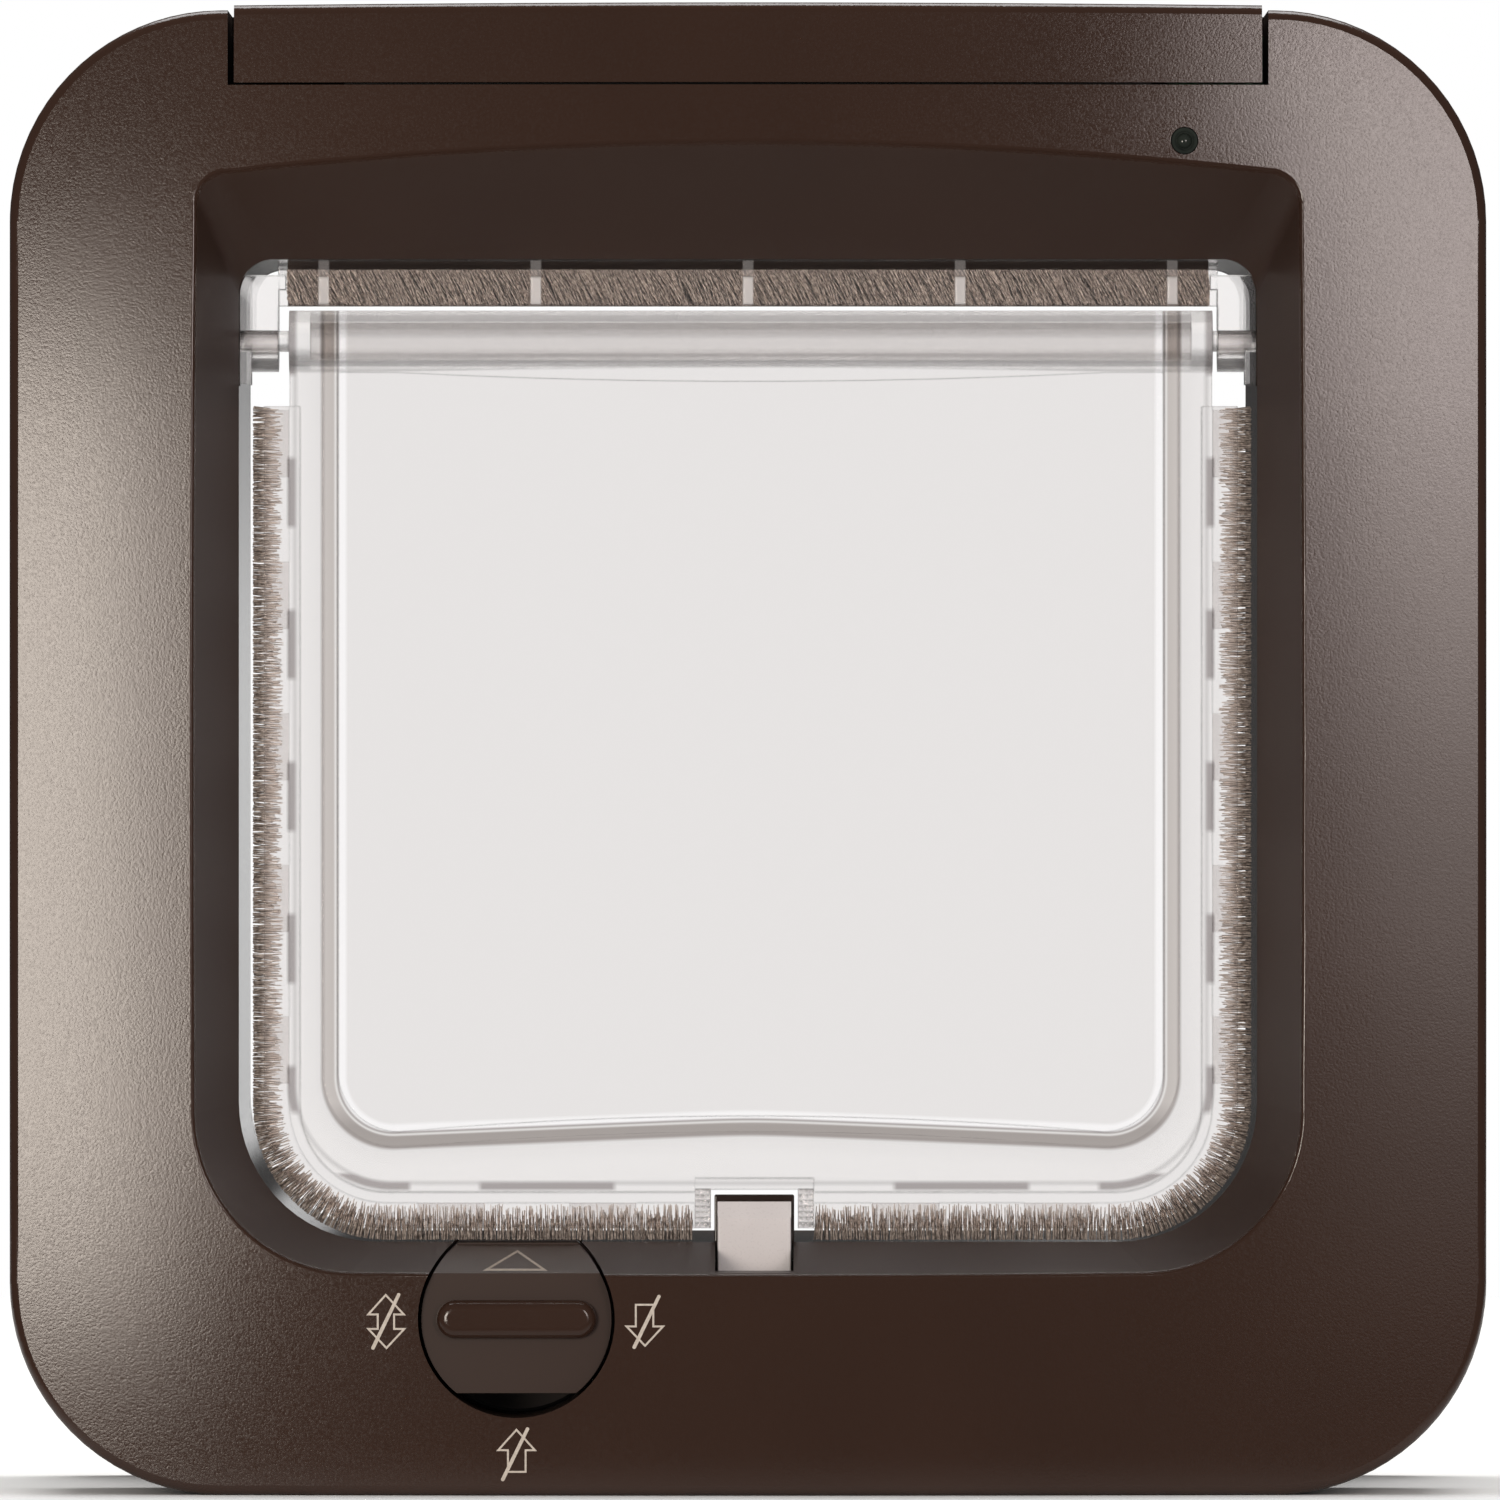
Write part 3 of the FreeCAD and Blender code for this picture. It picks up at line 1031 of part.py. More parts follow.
def latch_motor():
    """Round geared motor in its cradle, with a bearing boss in front and two solder tags above."""
    back = -PLATE_T - MOTOR_GAP
    can_front = MOTOR_FRONT + GEARBOX_L
    top = CAM_Z + MOTOR_R
    gearbox = rod_y(LATCH_X, CAM_Z, MOTOR_R, MOTOR_FRONT, can_front)
    can = rod_y(LATCH_X, CAM_Z, MOTOR_R - CAN_STEP, can_front, back)
    tags = [box(x - TAG_W / 2, x + TAG_W / 2, back - 2 * TAG_W, back - TAG_W, top - TAG_H, top + TAG_H)
            for x in (LATCH_X - TAG_X, LATCH_X + TAG_X)]
    bearing = rod_y(LATCH_X, CAM_Z, MOTOR_BEARING_R, MOTOR_FRONT - MOTOR_BEARING_L, can_front)
    bore = rod_y(LATCH_X, CAM_Z, SHAFT_R + SHAFT_FIT, MOTOR_FRONT - 1, MOTOR_FRONT + SHAFT_IN + CAM_HUB_GAP)
    return merged(gearbox.fuse([can, bearing] + tags).cut(bore))


def lobe(y0, y1, flats):
    """A slice of the dial's barrel with flats cut on some of its sides."""
    body = rod_y(DIAL_X, DIAL_Z, DIAL_R, y0, y1)
    sides = {
        "top": box(DIAL_X - BIG, DIAL_X + BIG, -BIG, BIG, DIAL_Z + DIAL_FLAT, BIG),
        "bottom": box(DIAL_X - BIG, DIAL_X + BIG, -BIG, BIG, -BIG, DIAL_Z - DIAL_FLAT),
        "left": box(-BIG, DIAL_X - DIAL_FLAT, -BIG, BIG, -BIG, BIG),
    }
    for name in flats:
        body = body.cut(sides[name])
    return body


def lock_dial():
    """Four-way lock: a barrel whose front lobe stops entry and whose rear lobe stops exit."""
    front = lobe(DIAL_FRONT, DIAL_NECK_FRONT, ("top", "bottom"))
    slope = recess_block(0)
    slope.translate(V(0, 0, -DIAL_SLOPE_GAP))
    front = front.cut(slope)
    neck = rod_y(DIAL_X, DIAL_Z, DIAL_NECK_R, DIAL_NECK_FRONT, DIAL_NECK_REAR)
    rear = lobe(DIAL_NECK_REAR, DIAL_REAR, ("top", "left"))
    journal = rod_y(DIAL_X, DIAL_Z, JOURNAL_R, DIAL_REAR, JOURNAL_END)
    bar_half = GRIP_L / 2 - GRIP_W / 2
    bar = box(DIAL_X - bar_half, DIAL_X + bar_half, DIAL_FRONT - GRIP_H, DIAL_FRONT + 1,
              DIAL_Z - GRIP_W / 2, DIAL_Z + GRIP_W / 2)
    ends = [rod_y(DIAL_X + side * bar_half, DIAL_Z, GRIP_W / 2, DIAL_FRONT - GRIP_H, DIAL_FRONT + 1)
            for side in (-1, 1)]
    grip = merged(bar.fuse(ends))
    grip = grip.makeFillet(GRIP_H * 0.7, [edge for edge in grip.Edges
                                          if edge.BoundBox.YMax < DIAL_FRONT - GRIP_H + NEAR])
    body = front.fuse([neck, rear, journal, grip])
    bore_start = JOURNAL_END - DIAL_SCREW_L
    body = body.cut(rod_y(DIAL_X, DIAL_Z, DIAL_SCREW_R + THREAD_FIT, bore_start, JOURNAL_END + 1))
    return merged(body)


def dial_washer():
    """Washer that keeps the dial's journal in the back plate."""
    body = rod_y(DIAL_X, DIAL_Z, DIAL_WASHER_R, JOURNAL_END, JOURNAL_END + DIAL_WASHER_T)
    return body.cut(rod_y(DIAL_X, DIAL_Z, DIAL_SCREW_R + SHAFT_FIT, -BIG, BIG))


def dial_screw():
    """Screw that clamps the washer to the dial's journal."""
    seat = JOURNAL_END + DIAL_WASHER_T
    body = screw(DIAL_X, DIAL_Z, DIAL_SCREW_R, DIAL_HEAD_R, DIAL_HEAD_T, seat, seat - DIAL_SCREW_L)
    return crossed(body, DIAL_X, DIAL_Z, seat + DIAL_HEAD_T, 1.0, DIAL_HEAD_R * CROSS_SPAN)


def reader_coil():
    """Flat winding round the tunnel that reads the tag."""
    body = mouth_block(WALL + COIL_GAP + COIL_T, COIL_Y, COIL_Y + COIL_L)
    return body.cut(mouth_block(WALL + COIL_GAP, -BIG, BIG))


def coil_cover():
    """Sleeve that closes the coil's channel."""
    start = COIL_Y - COIL_GAP - COIL_RIB_T
    length = COIL_L + 2 * (COIL_GAP + COIL_RIB_T)
    inner = WALL + COIL_RIB_H + COIL_GAP
    body = mouth_block(inner + COIL_COVER_T, start, start + length)
    return body.cut(mouth_block(inner, -BIG, BIG))


def outer_frame():
    """Street side moulding: crowned face, collar over the tunnel and four screw bosses."""
    top = DOOR_T + STREET_DEPTH + 1
    solid = crowned_frame(DOOR_T, top, street_crown(0), street_face_y)
    cavity = frame_block(WALL, DOOR_T - 1, top).common(street_crown(WALL))
    collar = mouth_block(WALL + COLLAR_FIT + COLLAR_WALL, COLLAR_START, top)
    bosses = [rod_y(x, z, STREET_BOSS_R, STREET_BOSS_START, top) for x, z in mounting_places()]
    body = solid.cut(cavity.cut([collar] + bosses)).cut(mouth_block(0, DOOR_T - 1, top + 1))
    mouth_edge = [edge for edge in face_edges(body, street_face_y)
                  if abs(edge.CenterOfMass.x) < MOUTH_W / 2 + 1 and abs(edge.CenterOfMass.z) < MOUTH_TOP + 1]
    body = body.makeFillet(MOUTH_EDGE_ROUND, mouth_edge)
    inside_door = box(-BIG, BIG, COLLAR_START, DOOR_T + 1, -BIG, BIG)
    body = body.fuse([collar.common(inside_door)] + [boss.common(inside_door) for boss in bosses])
    lip = DOOR_T + DUCT_REACH + COLLAR_FIT
    cuts = [mouth_block(WALL + COLLAR_FIT, COLLAR_START - 1, lip)]
    for x, z in mounting_places():
        cuts.append(rod_y(x, z, SCREW_R + SCREW_FIT, STREET_BOSS_START - 1, top))
        cuts.append(rod_y(x, z, CAP_R + CAP_FIT, SCREW_SEAT, top))
    for cut in cuts:
        body = body.cut(cut)
    return merged(body)


def mounting_screw(x, z):
    """Long screw from the street frame into a boss of the rear housing."""
    body = screw(x, z, SCREW_R, SCREW_HEAD_R, SCREW_HEAD_T, SCREW_SEAT, SCREW_TIP)
    return crossed(body, x, z, SCREW_SEAT + SCREW_HEAD_T, 1.0, SCREW_HEAD_R)


def screw_cap(x, z):
    """Push-in cap that hides a mounting screw."""
    y0 = SCREW_SEAT + SCREW_HEAD_T + CAP_FIT
    y1 = max(street_face_y(x, z) + CAP_PROUD, y0 + CAP_T)
    body = rod_y(x, z, CAP_R, y0, y1)
    return body.makeFillet(CAP_ROUND, [edge for edge in body.Edges if edge.BoundBox.YMin > y1 - NEAR])


def build():
    """Every piece by its node name."""
    pieces = {
        "inner_frame": inner_frame(),
        "battery_cover": battery_cover(),
        "battery_tray": battery_tray(),
        "small_board": small_board(),
        "light_lens": light_lens(),
        "learn_button": learn_button(),
        "main_board": main_board(),
        "board_screws": board_screws(),
        "rear_housing": rear_housing(),
        "housing_screws": housing_screws(),
        "tunnel": tunnel(),
        "hinge_rail": hinge_rail(),
        "top_pile": top_pile(),
        "flap": flap(),
        "flap_pile_left": pile_strip(-1),
        "flap_pile_right": pile_strip(1),
        "latch": latch(),
        "lift_cam": lift_cam(),
        "cam_shaft": cam_shaft(),
        "latch_motor": latch_motor(),
        "lock_dial": lock_dial(),
        "dial_washer": dial_washer(),
        "dial_screw": dial_screw(),
        "reader_coil": reader_coil(),
        "coil_cover": coil_cover(),
        "outer_frame": outer_frame(),
    }
    spots = [(side, place) for place in (CELL_BACK, CELL_FRONT) for side in (-1, 1)]
    for number, (side, place) in enumerate(spots, 1):
        pieces[f"cell_{number}"] = cell(side, place)
        pieces[f"contact_spring_{number}"] = contact_spring(side, place)
        pieces[f"contact_plate_{number}"] = contact_plate(side, place)
    for number, (x, z) in enumerate(mounting_places(), 1):
        pieces[f"mounting_screw_{number}"] = mounting_screw(x, z)
        pieces[f"screw_cap_{number}"] = screw_cap(x, z)
    return pieces


os.makedirs("parts", exist_ok=True)
for name, shape in build().items():
    if not shape.isValid():
        raise ValueError(f"{name} is not a valid shape")
    shape.exportStep(f"parts/{name}.step")
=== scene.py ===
"""Looks of the cat flap: its materials, brush strips and printed signs, with the light and the camera."""

import json
import math
import random

import bmesh
import bpy
from mathutils import Matrix, Vector


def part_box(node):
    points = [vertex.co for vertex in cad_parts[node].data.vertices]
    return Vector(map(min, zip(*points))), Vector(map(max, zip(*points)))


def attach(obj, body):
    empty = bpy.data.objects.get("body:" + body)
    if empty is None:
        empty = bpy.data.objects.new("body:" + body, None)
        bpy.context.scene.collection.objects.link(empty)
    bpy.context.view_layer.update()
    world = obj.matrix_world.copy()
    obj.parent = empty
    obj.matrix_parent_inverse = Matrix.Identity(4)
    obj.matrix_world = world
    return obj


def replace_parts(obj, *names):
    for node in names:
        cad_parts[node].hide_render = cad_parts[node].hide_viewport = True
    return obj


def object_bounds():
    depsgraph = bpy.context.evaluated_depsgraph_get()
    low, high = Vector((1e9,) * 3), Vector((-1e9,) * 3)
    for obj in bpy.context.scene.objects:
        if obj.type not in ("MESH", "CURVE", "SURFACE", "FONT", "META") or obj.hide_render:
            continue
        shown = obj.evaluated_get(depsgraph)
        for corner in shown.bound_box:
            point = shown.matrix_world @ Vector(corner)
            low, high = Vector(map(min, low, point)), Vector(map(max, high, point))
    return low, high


MM = 0.001

# Photograph: its width at the room side's face, and where its middle falls
PICTURE_W = 212.84 * MM
PICTURE_PX = 1500
MIDDLE_PX = (748.0, 752.5)
PX = 210.0 * MM / 1480
CAMERA_FAR = 3.0

# Room side's face: the top of its crown, and the crown's radius across and up
FACE_Y = -36.0 * MM
CROWN_R = 1105.0 * MM
RISE_R = 3300.0 * MM
MOUTH_Y = -17.0 * MM
MOUTH_BOTTOM = -69.9 * MM
RECESS_DROP = 4.6 * MM
DIAL_SLOPE_GAP = 0.35 * MM
PRINT_LIFT = 0.02 * MM
PRINT_LINE = 0.27 * MM
STRIKE_W = 0.52 * MM

# Rounded edges and ripples of the clear mouldings, and the grain of the brown ones
CLEAR_EDGE = 0.35 * MM
RIPPLE_MM = 9.0
RIPPLE_DEPTH_MM = 0.02
GRAIN_MM = 0.36
GRAIN_DEPTH_MM = 0.012
FLOW_MM = 34.0

# Cross weave of the brush's tape, and the turns of the copper winding
WEAVE_MM = 0.12 * math.pi ** 2
WIRE_MM = 0.5

# Brush strips
FLAP_X = 0.4 * MM
FLAP_HALF_W = 69.6 * MM
FLAP_BOTTOM = -68.0 * MM
FLAP_CORNER_R = 17.6 * MM
PILE_TOP = 49.3 * MM
PILE_ROOT = 2.7 * MM
PILE_ROOT_LOW = 3.5 * MM
PILE_REACH = {-1: 1.65 * MM, 1: 2.0 * MM}
PILE_REACH_LOW = 1.75 * MM
PILE_HALF_T = 1.45 * MM
NOTCH_HALF = 8.8 * MM
LATCH_X = 0.9 * MM
BRISTLE_R = 0.075 * MM
RAIL_ROWS = 5
RAIL_PITCH = 0.24 * MM
FLAP_ROWS = 4
FLAP_PITCH = 0.27 * MM
TAPE_TOP = 70.3 * MM
TAPE_FRONT = -7.9 * MM
TAPE_T = 0.5 * MM

# Flap's moulded bands: half width, bottom, corner radius and rise of the bottom of the window's ridge
# and of the web that holds the brush, how round the rise is at its peak, then the tabs behind the web
RIDGE = (61.3 * MM, -57.25 * MM, 10.6 * MM, 2.58 * MM)
WEB = (65.2 * MM, -61.6 * MM, 14.0 * MM, 0.0)
PEAK_ROUND = 5.0 * MM
TAB_Z = 37.2 * MM
TAB_PITCH = 21.75 * MM
TAB_HALF = 4.95 * MM
LOW_TAB_SPANS = ((20.0 * MM, 39.3 * MM), (49.3 * MM, 62.0 * MM))

# Dark block behind the latch, put where only shade falls through the flap's notch: it stands on the threshold
# inside the notch
SHADE_BLOCK_HALF = 5.7 * MM
SHADE_BLOCK_FRONT = -15.6 * MM
SHADE_BLOCK_BACK = -12.0 * MM
SHADE_BLOCK_FOOT = -70.0 * MM
SHADE_BLOCK_TOP = -63.2 * MM
SHADE_BLOCK_ROUND = 0.25 * MM

# Facets at both sides of the notch: how far they reach from the latch's middle, their height and their rows
FACET_IN = 6.25 * MM
FACET_OUT = 8.5 * MM
FACET_TOP = -62.3 * MM
FACET_LOW = -67.9 * MM
FACET_BASE = 0.2 * MM
FACET_COLUMNS = 3
FACET_ROWS = 7
FLAP_FRONT = -15.05 * MM

# Hinge rail's ribs, painted milky white as a highlight
RIB_PITCH = 30.3 * MM
RIB_HALF = 0.75 * MM
RIB_FRONT = -16.45 * MM

# Moulded ABS, clear polycarbonate
BROWN = "#36251D"
CLEAR = "#F6F3F2"

# Painted shade and highlight of the clear flap by the distance out from the window's ridge, in millimetres: the
# grey and dark bands are painted shade of refraction at the ridge, and the whitest ones are painted bright
# bands
FLAP_PAINTED_SHADE_BANDS = ((-3.7, "#EAE7E6"), (-3.2, "#FAF8F8"), (-2.5, "#FAF8F8"), (-2.2, "#A8A2A0"), (-1.9, "#E9E6E4"),
              (-1.6, "#C6BFBB"), (-0.5, "#CBC4C0"), (-0.05, "#ACA5A2"), (0.4, "#E6E3E2"), (3.0, "#EBE8E7"))

# Softboxes: their depth, the left one, the right one's steps upwards with the inner edge and radiance of each,
# and the one overhead, then how far behind the object the middle of the floor lies
LAMP_Y = -0.656
LEFT_LAMP_X = -0.29
LEFT_LAMP_Z = -0.0165
LEFT_LAMP_SIZE = (0.186, 0.226)
LEFT_RADIANCE = 13.2
RIGHT_LAMP = ((-0.119, -0.055, 0.194, 0.7), (-0.055, 0.008, 0.194, 2.4), (0.008, 0.063, 0.192, 4.9),
              (0.063, 0.13, 0.186, 8.8), (0.13, 0.2, 0.166, 9.2))
RIGHT_LAMP_END = 0.36
OVERHEAD = (0, 0.5, 2.0)
OVERHEAD_SIZE = (1.8, 1.2)
OVERHEAD_RADIANCE = 6.0
FLOOR_BACK = 0.5

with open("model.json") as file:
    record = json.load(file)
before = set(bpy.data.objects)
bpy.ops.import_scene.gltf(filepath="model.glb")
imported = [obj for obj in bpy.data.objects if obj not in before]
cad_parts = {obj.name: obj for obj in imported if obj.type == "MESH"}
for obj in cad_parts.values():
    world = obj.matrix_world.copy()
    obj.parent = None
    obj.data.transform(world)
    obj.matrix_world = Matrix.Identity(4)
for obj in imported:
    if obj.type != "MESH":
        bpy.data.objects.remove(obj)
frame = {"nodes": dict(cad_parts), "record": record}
cad_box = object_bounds()
nodes = frame["nodes"]
scene = bpy.context.scene
scene.view_settings.view_transform = "Standard"
chance = random.Random(7)
facet_chance = random.Random(11)


def linear(code):
    """Linear colour of an sRGB hex value."""
    shades = [int(code[k:k + 2], 16) / 255 for k in (1, 3, 5)]
    return [s / 12.92 if s <= 0.04045 else ((s + 0.055) / 1.055) ** 2.4 for s in shades] + [1.0]


def scaled(code, share):
    """Linear colour of an sRGB hex value, made lighter or darker by a share."""
    return [shade * share for shade in linear(code)[:3]] + [1.0]


def add(tree, kind, links=None, **settings):
    """Adds a node with its settings. Sockets are named by their label or number in links and in values."""
    made = tree.nodes.new(kind)
    values = settings.pop("values", {})
    for key, value in settings.items():
        setattr(made, key, value)
    for key, value in values.items():
        made.inputs[key].default_value = value
    for key, source in (links or {}).items():
        tree.links.new(source, made.inputs[key])
    return made


def new_material(name):
    """An empty node material and its tree."""
    made = bpy.data.materials.new(name)
    made.use_nodes = True
    made.node_tree.nodes.clear()
    return made, made.node_tree


def place(tree):
    """Object coordinates, in metres."""
    return add(tree, "ShaderNodeTexCoord").outputs["Object"]


def noise(tree, width_mm, detail=2.0, rough=0.5, where=None):
    """Noise whose grains are about as wide as asked, from 0 to 1."""
    return add(tree, "ShaderNodeTexNoise", {"Vector": where or place(tree)},
               values={"Scale": 1000.0 / width_mm, "Detail": detail, "Roughness": rough}).outputs["Fac"]


def spread(tree, value, low, high, low_to, high_to):
    """A value moved from one range to another, and held inside it."""
    limits = {"From Min": low, "From Max": high, "To Min": low_to, "To Max": high_to}
    return add(tree, "ShaderNodeMapRange", {"Value": value}, values=limits).outputs["Result"]


def between(tree, share, colour_a, colour_b):
    """A colour between two, by a share."""
    return add(tree, "ShaderNodeMix", {"Factor": share}, data_type="RGBA",
               values={6: colour_a, 7: colour_b}).outputs[2]


def math_of(tree, operation, first, second):
    """A calculation on two values, each a link or a number."""
    both = {0: first, 1: second}
    links = {key: value for key, value in both.items() if not isinstance(value, float)}
    values = {key: value for key, value in both.items() if isinstance(value, float)}
    return add(tree, "ShaderNodeMath", links, operation=operation, values=values).outputs[0]


def waves(tree, direction, pitch_mm, distortion=0.0):
    """Even waves along one axis, a pitch apart, from 0 to 1."""
    return add(tree, "ShaderNodeTexWave", {"Vector": place(tree)}, bands_direction=direction,
               values={"Scale": 1000 * math.pi / (10 * pitch_mm), "Distortion": distortion}).outputs["Fac"]


def bumped(tree, height, depth_mm, strength=1.0, under=None):
    """A normal from a height that stands out by a depth at most."""
    links = {"Height": height}
    if under:
        links["Normal"] = under
    amount = {"Strength": strength, "Distance": depth_mm * MM}
    return add(tree, "ShaderNodeBump", links, values=amount).outputs[0]


def surface(tree, links=None, **values):
    """The shader and the output of a material."""
    shader = add(tree, "ShaderNodeBsdfPrincipled", links, values=values)
    add(tree, "ShaderNodeOutputMaterial", {"Surface": shader.outputs[0]})
    return shader


def moulded_abs(name, face_rough, inner_rough):
    """Injection-moulded ABS: a fine spark-eroded grain on the faces, smoother down in the recess."""
    made, tree = new_material(name)
    where = place(tree)
    parts = add(tree, "ShaderNodeSeparateXYZ", {"Vector": where})

    def sag(value, radius):
        return math_of(tree, "DIVIDE", math_of(tree, "MULTIPLY", value, value), 2 * radius)

    crown = math_of(tree, "ADD", sag(parts.outputs["X"], CROWN_R), sag(parts.outputs["Z"], RISE_R))
    depth = math_of(tree, "SUBTRACT", parts.outputs["Y"], crown)
    inside = spread(tree, depth, FACE_Y + 0.35 * MM, FACE_Y + 1.2 * MM, 0.0, 1.0)
    outside = spread(tree, parts.outputs["Y"], -1.0 * MM, 1.0 * MM, 1.0, 0.0)
    smooth = math_of(tree, "MULTIPLY", inside, outside)
    grain = noise(tree, GRAIN_MM, detail=2.0, rough=0.6, where=where)
    flow = noise(tree, FLOW_MM, detail=1.0, where=where)
    colour = between(tree, spread(tree, flow, 0.3, 0.7, 0.0, 1.0), linear(BROWN), scaled(BROWN, 1.12))
    rough = add(tree, "ShaderNodeMix", {"Factor": smooth, 2: spread(tree, grain, 0.3, 0.7, face_rough - 0.05,
                                                                  face_rough + 0.05)},
                values={3: inner_rough}).outputs[0]
    height = add(tree, "ShaderNodeMix", {"Factor": smooth, 2: grain}, values={3: 0.5}).outputs[0]
    surface(tree, {"Base Color": colour, "Roughness": rough, "Normal": bumped(tree, height, GRAIN_DEPTH_MM)},
            IOR=1.53)
    return made


def clear_polycarbonate(name, straight, **parts):
    """Clear moulded polycarbonate: glossy, slightly rippled, with rounded edges that catch the light.

    A share of the light goes straight on, as through a thin wall. The parts are functions that give the tint,
    which on the flap is painted shade and highlight, the frost, and the painted highlight of a place, where the
    moulding is turned milky white."""
    made, tree = new_material(name)
    where = place(tree)
    ripple = noise(tree, RIPPLE_MM, detail=0.0, where=where)
    rounded = add(tree, "ShaderNodeBevel", samples=2, values={"Radius": CLEAR_EDGE}).outputs[0]
    normal = bumped(tree, ripple, RIPPLE_DEPTH_MM, under=rounded)
    links = {"Normal": normal}
    if "tint" in parts:
        links["Base Color"] = parts["tint"](tree, where)
    if "frost" in parts:
        links["Roughness"] = parts["frost"](tree, where)
    if "milk" in parts:
        links["Transmission Weight"] = parts["milk"](tree, where)
    shader = add(tree, "ShaderNodeBsdfPrincipled", links,
                 values={"Base Color": linear(CLEAR), "Roughness": 0.03, "IOR": 1.585,
                         "Transmission Weight": 1.0})
    each_side = add(tree, "ShaderNodeGamma", {"Color": links["Base Color"]} if "tint" in parts else None,
                    values={"Color": linear(CLEAR), "Gamma": 0.5}).outputs[0]
    light = add(tree, "ShaderNodeBsdfTransparent", {"Color": each_side})
    shadow = add(tree, "ShaderNodeLightPath").outputs["Is Shadow Ray"]
    share = spread(tree, shadow, 0.0, 1.0, straight, 1.0)
    both = add(tree, "ShaderNodeMixShader", {0: share, 1: shader.outputs[0], 2: light.outputs[0]})
    add(tree, "ShaderNodeOutputMaterial", {"Surface": both.outputs[0]})
    return made


def span(tree, value, low, high, soft):
    """1 where a value lies between two limits, with soft edges, and 0 elsewhere."""
    rise = spread(tree, value, low - soft, low + soft, 0.0, 1.0)
    return math_of(tree, "MULTIPLY", rise, spread(tree, value, high - soft, high + soft, 1.0, 0.0))


def from_middle(tree, where, middle):
    """Distance to the side of an upright line, and the height."""
    parts = add(tree, "ShaderNodeSeparateXYZ", {"Vector": where})
    side = math_of(tree, "ABSOLUTE", math_of(tree, "SUBTRACT", parts.outputs["X"], middle), 0.0)
    return side, parts.outputs["Z"]


def outside(tree, where, outline):
    """How far a place lies outside a band's outline, which is open at the top, in metres."""
    half_w, bottom, radius, rise = outline
    side, height = from_middle(tree, where, FLAP_X)
    soft = math_of(tree, "ADD", math_of(tree, "MULTIPLY", side, side), PEAK_ROUND ** 2)
    soft = math_of(tree, "SUBTRACT", math_of(tree, "SQRT", soft, 0.0), PEAK_ROUND)
    share = math_of(tree, "DIVIDE", soft, half_w)
    arch = math_of(tree, "MULTIPLY", math_of(tree, "SUBTRACT", 1.0, share), rise)
    low = math_of(tree, "ADD", math_of(tree, "SUBTRACT", bottom + radius, height), arch)
    low = math_of(tree, "MAXIMUM", low, 0.0)
    beside = math_of(tree, "MAXIMUM", math_of(tree, "SUBTRACT", side, half_w - radius), 0.0)
    square = math_of(tree, "ADD", math_of(tree, "MULTIPLY", low, low),
                     math_of(tree, "MULTIPLY", beside, beside))
    return math_of(tree, "SUBTRACT", math_of(tree, "SQRT", square, 0.0), radius)


def banded(tree, value, stops):
    """A colour that changes with a length, from stops of millimetres and colour."""
    first, last = stops[0][0], stops[-1][0]
    ramp = add(tree, "ShaderNodeValToRGB", {0: spread(tree, value, first * MM, last * MM, 0.0, 1.0)})
    marks = ramp.color_ramp.elements
    while len(marks) < len(stops):
        marks.new(0.5)
    for mark, (length, code) in zip(marks, stops):
        mark.position = (length - first) / (last - first)
        mark.color = linear(code)
    return ramp.outputs[0]


def tinted(tree, colour, share, code):
    """A colour that turns to another by a share."""
    return add(tree, "ShaderNodeMix", {"Factor": share, 6: colour}, data_type="RGBA",
               values={7: linear(code)}).outputs[2]


def flap_painted_shade(tree, where):
    """Tint of the clear flap, made of painted shade and highlight: a pale grey window, painted shade and bright
    bands at the ridge round it, painted shade below, and painted shade along the web and at its tabs.
    """
    ridge = outside(tree, where, RIDGE)
    height = add(tree, "ShaderNodeSeparateXYZ", {"Vector": where}).outputs["Z"]
    # Painted shade: the ridge's inner band darker towards the bottom
    ridge_painted_shade = math_of(tree, "MULTIPLY", span(tree, ridge, -1.75 * MM, -0.1 * MM, 0.15 * MM),
                     spread(tree, height, -53.5 * MM, -50.0 * MM, 0.6, 0.0))
    pane = tinted(tree, banded(tree, ridge, FLAP_PAINTED_SHADE_BANDS), ridge_painted_shade, "#8E8783")
    web = outside(tree, where, WEB)
    # Painted shade: a grey line along the web's edge
    pane = tinted(tree, pane, span(tree, web, -0.3 * MM, 0.3 * MM, 0.25 * MM), "#D2CFCE")
    # Painted shade of the tabs behind the web, seen through the flap
    step = math_of(tree, "PINGPONG", math_of(tree, "SUBTRACT", height, TAB_Z), TAB_PITCH / 2)
    beside = math_of(tree, "MULTIPLY", spread(tree, step, TAB_HALF - 0.4 * MM, TAB_HALF + 0.4 * MM, 1.0, 0.0),
                     spread(tree, height, -52.0 * MM, -51.0 * MM, 0.0, 1.0))
    side = from_middle(tree, where, LATCH_X)[0]
    below = math_of(tree, "ADD", *[span(tree, side, low, high, 0.4 * MM) for low, high in LOW_TAB_SPANS])
    below = math_of(tree, "MULTIPLY", below, spread(tree, height, -60.5 * MM, -60.0 * MM, 1.0, 0.0))
    tab_painted_shade = math_of(tree, "MULTIPLY", math_of(tree, "MAXIMUM", beside, below),
                   span(tree, web, -0.1 * MM, 1.0 * MM, 0.25 * MM))
    return tinted(tree, pane, tab_painted_shade, "#AAA4A3")


def flap_frost(tree, where):
    """Roughness of the flap: polished in the window and along the edge, with a finely etched band between."""
    etched = span(tree, outside(tree, where, RIDGE), 0.6 * MM, 5.9 * MM, 0.3 * MM)
    return spread(tree, etched, 0.0, 1.0, 0.03, 0.2)


